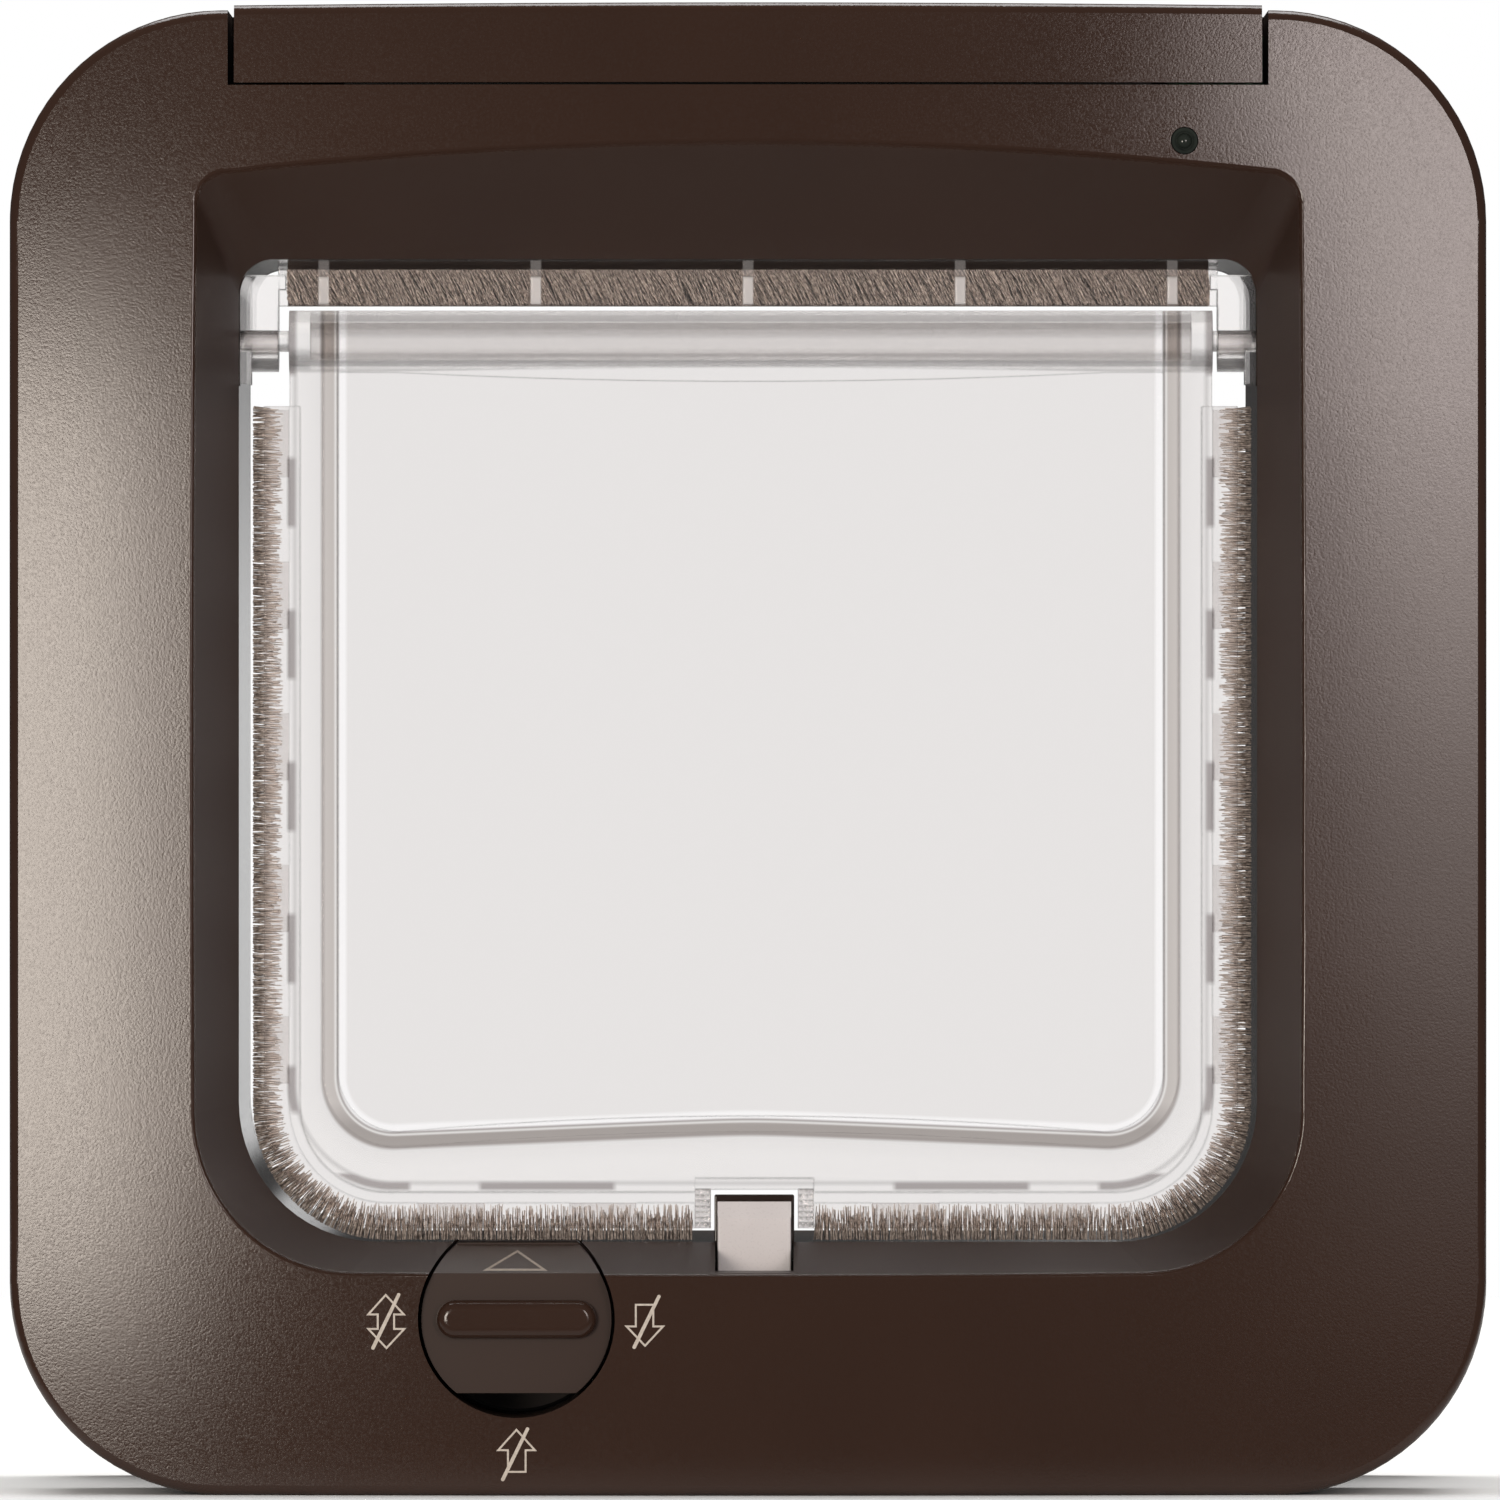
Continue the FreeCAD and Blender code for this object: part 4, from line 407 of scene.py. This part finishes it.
def rib_milk(tree, where):
    """Transmission of the rail: clear, but milky white in the ribs on its front, a painted highlight where the
    ribs catch the lamp.
    """
    parts = add(tree, "ShaderNodeSeparateXYZ", {"Vector": where})
    step = math_of(tree, "PINGPONG", parts.outputs["X"], RIB_PITCH / 2)
    rib_highlight_mask = spread(tree, step, RIB_HALF - 0.1 * MM, RIB_HALF + 0.1 * MM, 1.0, 0.0)
    front = spread(tree, parts.outputs["Y"], RIB_FRONT - 0.1 * MM, RIB_FRONT + 0.1 * MM, 1.0, 0.0)
    return spread(tree, math_of(tree, "MULTIPLY", rib_highlight_mask, front), 0.0, 1.0, 1.0, 0.1)


def brush_pile(name, dark, light, lit_root_outline=None):
    """Polypropylene pile: fine taupe bristles, each a little lighter or darker, and, where an outline is given,
    painted light that makes them paler towards their roots.
    """
    made, tree = new_material(name)
    where = place(tree)
    shade = noise(tree, 0.5, detail=2.0, where=where)
    colour = between(tree, spread(tree, shade, 0.35, 0.65, 0.0, 1.0), linear(dark), linear(light))
    if lit_root_outline:
        # Painted light: the bristles lighter towards their roots near the web
        root = spread(tree, outside(tree, where, lit_root_outline), 3.2 * MM, 5.0 * MM, 1.0, 0.0)
        colour = tinted(tree, colour, root, "#E6DED8")
    surface(tree, {"Base Color": colour}, Roughness=0.42, IOR=1.49)
    return made


def pile_backing():
    """Woven backing of the brush, a dark polypropylene tape with a cross weave."""
    made, tree = new_material("pile_backing")
    weave = waves(tree, "Z", WEAVE_MM, distortion=1.0)
    colour = between(tree, weave, linear("#453B36"), linear("#554A44"))
    surface(tree, {"Base Color": colour, "Normal": bumped(tree, weave, 0.1)}, Roughness=0.7)
    return made


def plain_plastic(name, code, rough, grain_mm=0.4, depth=0.008, ior=1.5):
    """A moulded plastic with a very fine grain and a faint change of shade."""
    made, tree = new_material(name)
    grain = noise(tree, grain_mm, detail=2.0)
    flow = noise(tree, 6.0, detail=1.0)
    colour = between(tree, spread(tree, flow, 0.3, 0.7, 0.0, 1.0), scaled(code, 0.94), linear(code))
    surface(tree, {"Base Color": colour, "Normal": bumped(tree, grain, depth),
                   "Roughness": spread(tree, grain, 0.3, 0.7, rough - 0.05, rough + 0.05)}, IOR=ior)
    return made


def polished_abs():
    """The same ABS from a polished mould, as on the tunnel's walls and the parts that stay out of sight."""
    made, tree = new_material("brown_abs_polished")
    flow = noise(tree, 30.0, detail=1.0)
    scuff = noise(tree, 1.1, detail=3.0, rough=0.7)
    colour = between(tree, spread(tree, flow, 0.3, 0.7, 0.0, 1.0), linear("#2B201C"), linear("#30241F"))
    surface(tree, {"Base Color": colour, "Roughness": spread(tree, scuff, 0.3, 0.7, 0.14, 0.22)}, IOR=1.53)
    return made


def smoked_lens():
    """Smoked acrylic of the status light, nearly black with a clear gloss."""
    made, tree = new_material("smoked_lens")
    cloud = noise(tree, 1.2, detail=1.0)
    colour = between(tree, cloud, linear("#1C201E"), linear("#30352F"))
    surface(tree, {"Base Color": colour}, Roughness=0.08, IOR=1.49)
    return made


def bright_metal(name, code, rough, grain_mm, stretch=(1.0, 1.0, 1.0)):
    """A plated or drawn metal with fine marks that run one way where it was drawn."""
    made, tree = new_material(name)
    along = add(tree, "ShaderNodeMapping", {"Vector": place(tree)}, values={"Scale": stretch}).outputs[0]
    marks = noise(tree, grain_mm, detail=3.0, rough=0.6, where=along)
    colour = between(tree, spread(tree, marks, 0.3, 0.7, 0.0, 1.0), scaled(code, 0.86), linear(code))
    surface(tree, {"Base Color": colour, "Normal": bumped(tree, marks, 0.01),
                   "Roughness": spread(tree, marks, 0.3, 0.7, rough - 0.06, rough + 0.08)}, Metallic=1.0)
    return made


def circuit_board():
    """Glass-fibre board under green solder mask: glossy, with tracks that show a little lighter."""
    made, tree = new_material("circuit_board")
    tracks = add(tree, "ShaderNodeTexVoronoi", {"Vector": place(tree)}, distance="CHEBYCHEV",
                 feature="DISTANCE_TO_EDGE", values={"Scale": 1000 / 3.2})
    share = spread(tree, tracks.outputs["Distance"], 0.04, 0.07, 1.0, 0.0)
    colour = between(tree, share, linear("#0F3D24"), linear("#1E5C38"))
    surface(tree, {"Base Color": colour, "Normal": bumped(tree, share, 0.03)}, Roughness=0.3, IOR=1.5)
    return made


def copper_winding():
    """Enamelled copper wire wound flat: turns 0.5 mm wide that run round the tunnel, each painted darker into
    the grooves between turns as painted shade.
    """
    made, tree = new_material("copper_winding")
    turn_relief_and_shade = waves(tree, "Y", WIRE_MM)
    # Painted shade: each turn darker towards the grooves and lighter at its crown
    colour = between(tree, turn_relief_and_shade, linear("#6B3417"), linear("#C77845"))
    surface(tree, {"Base Color": colour, "Normal": bumped(tree, turn_relief_and_shade, 0.15)}, Roughness=0.28, Metallic=0.85)
    return made


def screen_ink():
    """Screen-printed ink: a flat beige film, faintly uneven."""
    made, tree = new_material("screen_ink")
    patch = noise(tree, 0.5, detail=2.0)
    colour = between(tree, spread(tree, patch, 0.3, 0.7, 0.0, 1.0), linear("#BDB1A4"), linear("#D2C7BA"))
    surface(tree, {"Base Color": colour}, Roughness=0.55)
    return made


brown_face = moulded_abs("brown_abs_moulded", 0.15, 0.42)
finishes = {
    "brown_plastic": brown_face,
    "black_plastic": plain_plastic("black_abs_moulded", "#1B1B1C", 0.45),
    "clear_plastic": clear_polycarbonate("clear_polycarbonate", 0.4),
    "smoked_lens": smoked_lens(),
    "pile": pile_backing(),
    "grey_plastic": plain_plastic("grey_acetal_moulded", "#E6E0DF", 0.3),
    "white_plastic": plain_plastic("white_acetal_moulded", "#E2E0D8", 0.32),
    "board": circuit_board(),
    "copper": copper_winding(),
    "motor_can": bright_metal("zinc_plated_can", "#B9BBBD", 0.25, 0.6, (1.0, 0.15, 1.0)),
    "steel": bright_metal("zinc_plated_steel", "#C3C4C6", 0.3, 0.3),
    "contact": bright_metal("nickel_plated_spring_steel", "#D0CEC8", 0.2, 0.4),
    "cell": bright_metal("printed_cell_sleeve", "#3B3D40", 0.3, 0.8, (0.2, 1.0, 1.0)),
}
ink = screen_ink()
flap_bristles = brush_pile("brush_pile_flap", "#6E6159", "#CABDB2", WEB)
top_bristles = brush_pile("brush_pile_rail", "#695D57", "#BFB4AA")
polished = polished_abs()
own_finish = {
    # The flap's tint is painted shade and highlight from refraction at its ridge, web and tabs
    "flap": clear_polycarbonate("clear_polycarbonate_flap", 0.55, tint=flap_painted_shade, frost=flap_frost),
    "hinge_rail": clear_polycarbonate("clear_polycarbonate_rail", 0.3, milk=rib_milk),
    "lock_dial": moulded_abs("brown_abs_dial", 0.15, 0.3),
    "tunnel": polished,
    "rear_housing": polished,
    "coil_cover": polished,
}
for part in frame["record"]["subparts"]:
    finish = own_finish.get(part["node"], finishes[part["material_slot"]])
    nodes[part["node"]].data.materials.clear()
    nodes[part["node"]].data.materials.append(finish)


def face_y(x, z):
    """Depth of the room side's crowned face at a place on it."""
    across = RISE_R - CROWN_R + math.sqrt(CROWN_R ** 2 - x * x)
    return FACE_Y + RISE_R - math.sqrt(across ** 2 - z * z)


def seen(px, py):
    """X and Z of a pixel of the photograph on the room side's face."""
    return (px - MIDDLE_PX[0]) * PX, (MIDDLE_PX[1] - py) * PX


def piece_from(name, mesh, body, material):
    """A finished piece of the object that rides on a body."""
    made = bpy.data.objects.new(name, mesh)
    scene.collection.objects.link(made)
    made.data.materials.clear()
    made.data.materials.append(material)
    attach(made, body)
    return made


def print_line(bm, corners):
    """A closed printed line through the corners, as wide as the stroke."""
    face = bm.faces.new([bm.verts.new((x, 0.0, z)) for x, z in corners])
    face.normal_update()
    bmesh.ops.inset_individual(bm, faces=[face], thickness=PRINT_LINE, use_even_offset=True)
    bmesh.ops.delete(bm, geom=[face], context="FACES_ONLY")


def print_strike(bm, start, end):
    """A round-ended bar from one place to another."""
    a, b = Vector((start[0], 0, start[1])), Vector((end[0], 0, end[1]))
    turn = math.atan2((b - a).z, (b - a).x)
    ends = bmesh.ops.create_circle(bm, cap_ends=True, segments=16, radius=STRIKE_W / 2)["verts"]
    half = (b - a).length / 2
    for vert in ends:
        vert.co.x += half if vert.co.x > 0 else -half
    flat = Matrix.Rotation(math.pi / 2, 4, "X")
    bmesh.ops.transform(bm, matrix=Matrix.Translation((a + b) / 2 - Vector((0, 0.004 * MM, 0)))
                        @ Matrix.Rotation(-turn, 4, "Y") @ flat, verts=ends)


def print_mesh(name, signs, lay):
    """Printed signs as one mesh, each vertex laid on the surface that carries it."""
    bm = bmesh.new()
    for outline, strike in signs:
        print_line(bm, [seen(*spot) for spot in outline])
        if strike:
            print_strike(bm, seen(*strike[0]), seen(*strike[1]))
    for vert in bm.verts:
        vert.co.y += lay(vert.co.x, vert.co.z)
    bmesh.ops.recalc_face_normals(bm, faces=bm.faces)
    for face in bm.faces:
        if face.normal.y > 0:
            face.normal_flip()
    mesh = bpy.data.meshes.new(name)
    bm.to_mesh(mesh)
    bm.free()
    return mesh


both_ways = [(385.4, 1293.9), (405.8, 1315.8), (394.8, 1315.8), (394.8, 1328.4), (406.2, 1328.4),
             (386.2, 1349.9), (365.8, 1328.4), (376.5, 1328.4), (376.5, 1315.8), (365.8, 1315.8)]
one_way_down = [(634.8, 1304.0), (654.2, 1304.0), (654.2, 1325.7), (665.2, 1325.7), (645.0, 1347.4),
                (624.3, 1325.7), (634.8, 1325.7)]
one_way_up = [(516.3, 1428.8), (536.9, 1451.6), (526.4, 1451.6), (526.4, 1473.3), (506.8, 1473.3),
              (506.8, 1451.6), (495.9, 1451.6)]
lock_signs = print_mesh("lock_signs", [
    (both_ways, ((372.7, 1348.4), (398.4, 1295.2))),
    (one_way_down, ((634.2, 1347.4), (658.8, 1296.8))),
    (one_way_up, ((502.6, 1480.0), (527.3, 1429.5))),
], lambda x, z: face_y(x, z) - PRINT_LIFT)
piece_from("lock_signs", lock_signs, "house", ink)


def slope_y(x, z):
    """Depth of the dial's sloping top, which carries on the recess's lower wall."""
    return MOUTH_Y + (MOUTH_Y - FACE_Y) * (z - MOUTH_BOTTOM + DIAL_SLOPE_GAP) / RECESS_DROP - 4 * PRINT_LIFT


pointer = print_mesh("dial_pointer", [([(516.3, 1252.6), (547.3, 1271.6), (482.2, 1271.6)], None)], slope_y)
piece_from("dial_pointer", pointer, "dial", ink)


def bristle_mesh(name, spines):
    """A mesh of fine bristles along their spines of three places each."""
    curve = bpy.data.curves.new(name, "CURVE")
    curve.dimensions = "3D"
    curve.bevel_depth = BRISTLE_R
    curve.bevel_resolution = 0
    for spine in spines:
        line = curve.splines.new("POLY")
        line.points.add(len(spine) - 1)
        for point, spot in zip(line.points, spine):
            point.co = (*spot, 1.0)
    carrier = bpy.data.objects.new(name + "_carrier", curve)
    mesh = bpy.data.meshes.new_from_object(carrier)
    bpy.data.objects.remove(carrier)
    bpy.data.curves.remove(curve)
    mesh.name = name
    return mesh


def top_brush():
    """Spines of the hinge rail's brush, which slants across behind the rail."""
    low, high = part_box("top_pile")
    spines = []
    for row in range(RAIL_ROWS):
        y = low.y + (high.y - low.y) * (row + 0.5) / RAIL_ROWS
        slant = (high.z - low.z) * (1.0 if row % 2 else 0.8)
        x = low.x - slant
        while x < high.x - 0.15 * MM:
            top = Vector((x, y + chance.uniform(-0.4, 0.4) * MM, high.z))
            lean = min((0.35 + 0.5 * chance.random()) * slant, high.x - x)
            end = Vector((x + lean, y + chance.uniform(-0.5, 0.5) * MM,
                          low.z + chance.uniform(0.0, 0.5) * MM))
            x += RAIL_PITCH * chance.uniform(0.7, 1.3)
            if end.x < low.x + 0.3 * MM:
                continue
            top = top.lerp(end, max(0.0, (low.x - top.x) / (end.x - top.x)))
            middle = (top + end) / 2 + Vector((chance.uniform(0.0, 0.25), chance.uniform(-0.2, 0.2), 0)) * MM
            spines.append([top, middle, end])
    return spines


def tape_mesh():
    """Tape that carries the rail's bristles, behind the rail's shelf."""
    low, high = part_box("top_pile")
    size = Vector((high.x - low.x, TAPE_T, TAPE_TOP - low.z))
    bm = bmesh.new()
    bmesh.ops.create_cube(bm, size=1.0)
    bmesh.ops.scale(bm, vec=size, verts=bm.verts)
    bmesh.ops.translate(bm, vec=(0, TAPE_FRONT + TAPE_T / 2, (TAPE_TOP + low.z) / 2), verts=bm.verts)
    mesh = bpy.data.meshes.new("brush_tape")
    bm.to_mesh(mesh)
    bm.free()
    return mesh


def flap_edge(along):
    """Place on the flap's outline and its outward direction, by the length along it from one side's top."""
    straight = PILE_TOP - (FLAP_BOTTOM + FLAP_CORNER_R)
    bend = math.pi / 2 * FLAP_CORNER_R
    if along < straight:
        return FLAP_HALF_W, PILE_TOP - along, 1.0, 0.0
    centre = (FLAP_HALF_W - FLAP_CORNER_R, FLAP_BOTTOM + FLAP_CORNER_R)
    if along < straight + bend:
        turn = (along - straight) / FLAP_CORNER_R
        out = (math.cos(turn), -math.sin(turn))
        return centre[0] + FLAP_CORNER_R * out[0], centre[1] + FLAP_CORNER_R * out[1], *out
    return centre[0] - (along - straight - bend), FLAP_BOTTOM, 0.0, -1.0


def flap_brush(side):
    """Spines of the brush round one half of the flap."""
    middle_y = sum(edge.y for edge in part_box("flap_pile_left")) / 2
    stop = (LATCH_X - FLAP_X) * side + NOTCH_HALF
    length = (PILE_TOP - (FLAP_BOTTOM + FLAP_CORNER_R) + math.pi / 2 * FLAP_CORNER_R
              + FLAP_HALF_W - FLAP_CORNER_R - stop)
    spines = []
    for row in range(FLAP_ROWS):
        y = middle_y + PILE_HALF_T * (row - (FLAP_ROWS - 1) / 2) / 2
        along = 0.1 * MM
        while along < length:
            x, z, out_x, out_z = flap_edge(along)
            reach = PILE_REACH[side] + (PILE_REACH_LOW - PILE_REACH[side]) * -out_z
            reach += chance.uniform(-0.2, 0.0) * MM
            sway = chance.uniform(-0.35, 0.35) * MM
            depth = (PILE_ROOT + (PILE_ROOT_LOW - PILE_ROOT) * -out_z) * chance.uniform(0.1, 1.0)
            root = Vector((x - out_x * depth, y + chance.uniform(-0.2, 0.2) * MM, z - out_z * depth))
            tip = Vector((x + out_x * reach - out_z * sway, y + chance.uniform(-0.3, 0.3) * MM,
                          z + out_z * reach + out_x * sway))
            bend = (root + tip) / 2 + Vector((0, chance.uniform(-0.15, 0.15) * MM, 0))
            spines.append([Vector((FLAP_X + side * spot.x, spot.y, spot.z)) for spot in (root, bend, tip)])
            along += FLAP_PITCH * chance.uniform(0.7, 1.3)
    return spines


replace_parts(piece_from("top_brush", bristle_mesh("top_brush", top_brush()), "house", top_bristles),
            "top_pile")
piece_from("brush_tape", tape_mesh(), "house", finishes["pile"])
for side, word in ((-1, "left"), (1, "right")):
    brush = piece_from(f"flap_brush_{word}", bristle_mesh(f"flap_brush_{word}", flap_brush(side)), "flap",
                       flap_bristles)
    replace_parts(brush, f"flap_pile_{word}")


def block_mesh(name, low, high, rounding):
    """A block between two corners with rounded edges."""
    bm = bmesh.new()
    bmesh.ops.create_cube(bm, size=1.0)
    bmesh.ops.scale(bm, vec=high - low, verts=bm.verts)
    bmesh.ops.translate(bm, vec=(low + high) / 2, verts=bm.verts)
    bmesh.ops.bevel(bm, geom=bm.edges[:], offset=rounding, segments=3, profile=0.5, affect="EDGES",
                    material=-1)
    mesh = bpy.data.meshes.new(name)
    bm.to_mesh(mesh)
    bm.free()
    return mesh


def facet_mesh():
    """Small pyramids on the flap's face at both sides of its notch, each with a peak of its own."""
    bm = bmesh.new()
    for side in (-1, 1):
        middle = LATCH_X + side * (FACET_IN + FACET_OUT) / 2
        made = bmesh.ops.create_cube(bm, size=1.0)["verts"]
        bmesh.ops.scale(bm, vec=(FACET_OUT - FACET_IN, FACET_BASE, FACET_TOP - FACET_LOW), verts=made)
        bmesh.ops.translate(bm, vec=(middle, FLAP_FRONT, (FACET_TOP + FACET_LOW) / 2), verts=made)
    for across, parts in (("x", FACET_ROWS), ("z", FACET_COLUMNS)):
        edges = [edge for edge in bm.edges if any(face.normal.y < -0.5 for face in edge.link_faces)
                 and abs(getattr(edge.verts[0].co, across) - getattr(edge.verts[1].co, across)) < 0.01 * MM]
        bmesh.ops.subdivide_edges(bm, edges=edges, cuts=parts - 1, use_grid_fill=True)
    front = [face for face in bm.faces if face.normal.y < -0.5]
    for peak in bmesh.ops.poke(bm, faces=front)["verts"]:
        peak.co += Vector((facet_chance.uniform(-0.15, 0.15), -facet_chance.uniform(0.15, 0.45),
                           facet_chance.uniform(-0.15, 0.15))) * MM
    bmesh.ops.recalc_face_normals(bm, faces=bm.faces)
    mesh = bpy.data.meshes.new("notch_facets")
    bm.to_mesh(mesh)
    bm.free()
    return mesh


# A dark brown block that stands for the shade behind the latch
shade_block = block_mesh("latch_shade_block", Vector((LATCH_X - SHADE_BLOCK_HALF, SHADE_BLOCK_FRONT, SHADE_BLOCK_FOOT)),
                   Vector((LATCH_X + SHADE_BLOCK_HALF, SHADE_BLOCK_BACK, SHADE_BLOCK_TOP)), SHADE_BLOCK_ROUND)
piece_from("latch_shade_block", shade_block, "house", polished)
piece_from("notch_facets", facet_mesh(), "flap", finishes["clear_plastic"])


def pale_floor():
    """Matt white board under the object, which fades into the backdrop away from it."""
    bm = bmesh.new()
    bmesh.ops.create_circle(bm, cap_ends=True, segments=96, radius=1.1)
    bmesh.ops.translate(bm, vec=(0, 0, cad_box[0].z - 0.05 * MM), verts=bm.verts)
    mesh = bpy.data.meshes.new("floor")
    bm.to_mesh(mesh)
    bm.free()
    made, tree = new_material("white_board")
    far = add(tree, "ShaderNodeVectorMath", {0: place(tree)}, operation="DISTANCE",
              values={1: (0.0, FLOOR_BACK, 0.0)}).outputs["Value"]
    fade = spread(tree, far, FLOOR_BACK + 0.045, FLOOR_BACK + 0.09, 0.0, 1.0)
    tooth = noise(tree, 1.5, detail=2.0)
    board = add(tree, "ShaderNodeBsdfDiffuse", {"Normal": bumped(tree, tooth, 0.02)},
                values={"Color": linear("#F4F3F1")})
    clear = add(tree, "ShaderNodeBsdfTransparent")
    both = add(tree, "ShaderNodeMixShader", {0: fade, 1: board.outputs[0], 2: clear.outputs[0]})
    add(tree, "ShaderNodeOutputMaterial", {"Surface": both.outputs[0]})
    floor = bpy.data.objects.new("floor", mesh)
    floor.data.materials.append(made)
    scene.collection.objects.link(floor)


def softbox(name, spot, size, radiance, tint, aim):
    """A rectangular softbox of one radiance that faces a place."""
    lamp = bpy.data.lights.new(name, "AREA")
    lamp.color = linear(tint)[:3]
    lamp.shape = "RECTANGLE"
    lamp.size, lamp.size_y = size
    lamp.energy = radiance * math.pi * size[0] * size[1]
    made = bpy.data.objects.new(name, lamp)
    made.location = spot
    made.rotation_euler = (Vector(aim) - Vector(spot)).to_track_quat("-Z", "Y").to_euler()
    made.visible_camera = False
    scene.collection.objects.link(made)


def studio():
    """White backdrop, a dim room behind the camera, and soft lamps to the left, right and above."""
    world = bpy.data.worlds.new("studio")
    world.use_nodes = True
    tree = world.node_tree
    tree.nodes.clear()
    ray = add(tree, "ShaderNodeLightPath")
    direction = add(tree, "ShaderNodeTexCoord").outputs["Generated"]
    toward = add(tree, "ShaderNodeSeparateXYZ", {"Vector": direction})
    axial = math_of(tree, "ABSOLUTE", toward.outputs["Y"], 0.0)
    through = math_of(tree, "MULTIPLY", spread(tree, axial, 0.35, 0.9, 0.8, 1.0),
                      spread(tree, toward.outputs["X"], -0.4, -0.1, 0.2, 1.0))
    panel = math_of(tree, "MULTIPLY", spread(tree, toward.outputs["Y"], 0.93, 0.985, 0.0, 1.0),
                    spread(tree, toward.outputs["X"], 0.0, 0.04, 0.0, 1.0))
    slant = math_of(tree, "DIVIDE", toward.outputs["Z"], math_of(tree, "MAXIMUM", toward.outputs["X"], 0.005))
    slots = math_of(tree, "ADD", span(tree, slant, -0.6, 0.25, 0.1), span(tree, slant, 1.0, 4.0, 0.2))
    panel = math_of(tree, "MULTIPLY", panel, slots)
    mirrored = spread(tree, panel, 0.0, 1.0, 0.06, 1.0)
    level = add(tree, "ShaderNodeMix", {"Factor": ray.outputs["Is Glossy Ray"], 3: mirrored},
                values={2: 0.5}).outputs[0]
    level = add(tree, "ShaderNodeMix",
                {"Factor": ray.outputs["Is Transmission Ray"], 2: level, 3: through}).outputs[0]
    level = add(tree, "ShaderNodeMix", {"Factor": ray.outputs["Is Camera Ray"], 2: level},
                values={3: 1.0}).outputs[0]
    back = add(tree, "ShaderNodeBackground", {"Strength": level}, values={"Color": linear("#FFFFFF")})
    add(tree, "ShaderNodeOutputWorld", {"Surface": back.outputs[0]})
    scene.world = world
    softbox("left_lamp", (LEFT_LAMP_X, LAMP_Y, LEFT_LAMP_Z), LEFT_LAMP_SIZE, LEFT_RADIANCE, "#FFF4E8",
            (LEFT_LAMP_X, 0, LEFT_LAMP_Z))
    for step, (low, high, inner, radiance) in enumerate(RIGHT_LAMP):
        x, z = (inner + RIGHT_LAMP_END) / 2, (low + high) / 2
        softbox(f"right_lamp_{step}", (x, LAMP_Y, z), (RIGHT_LAMP_END - inner, high - low), radiance, "#FFF2EE",
                (x, 0, z))
    softbox("overhead", OVERHEAD, OVERHEAD_SIZE, OVERHEAD_RADIANCE, "#FFFFFF", (0, 0.1, 0))


def photograph_camera():
    """Long lens straight in front, so that the frame's sides hardly converge."""
    lens = bpy.data.cameras.new("camera")
    lens.sensor_width = 36.0
    lens.lens = 36.0 * CAMERA_FAR / PICTURE_W
    lens.clip_end = 20.0
    made = bpy.data.objects.new("camera", lens)
    middle = seen(PICTURE_PX / 2, PICTURE_PX / 2)
    made.location = (middle[0], FACE_Y - CAMERA_FAR, middle[1])
    made.rotation_euler = (math.pi / 2, 0, 0)
    scene.collection.objects.link(made)
    scene.camera = made


pale_floor()
studio()
photograph_camera()
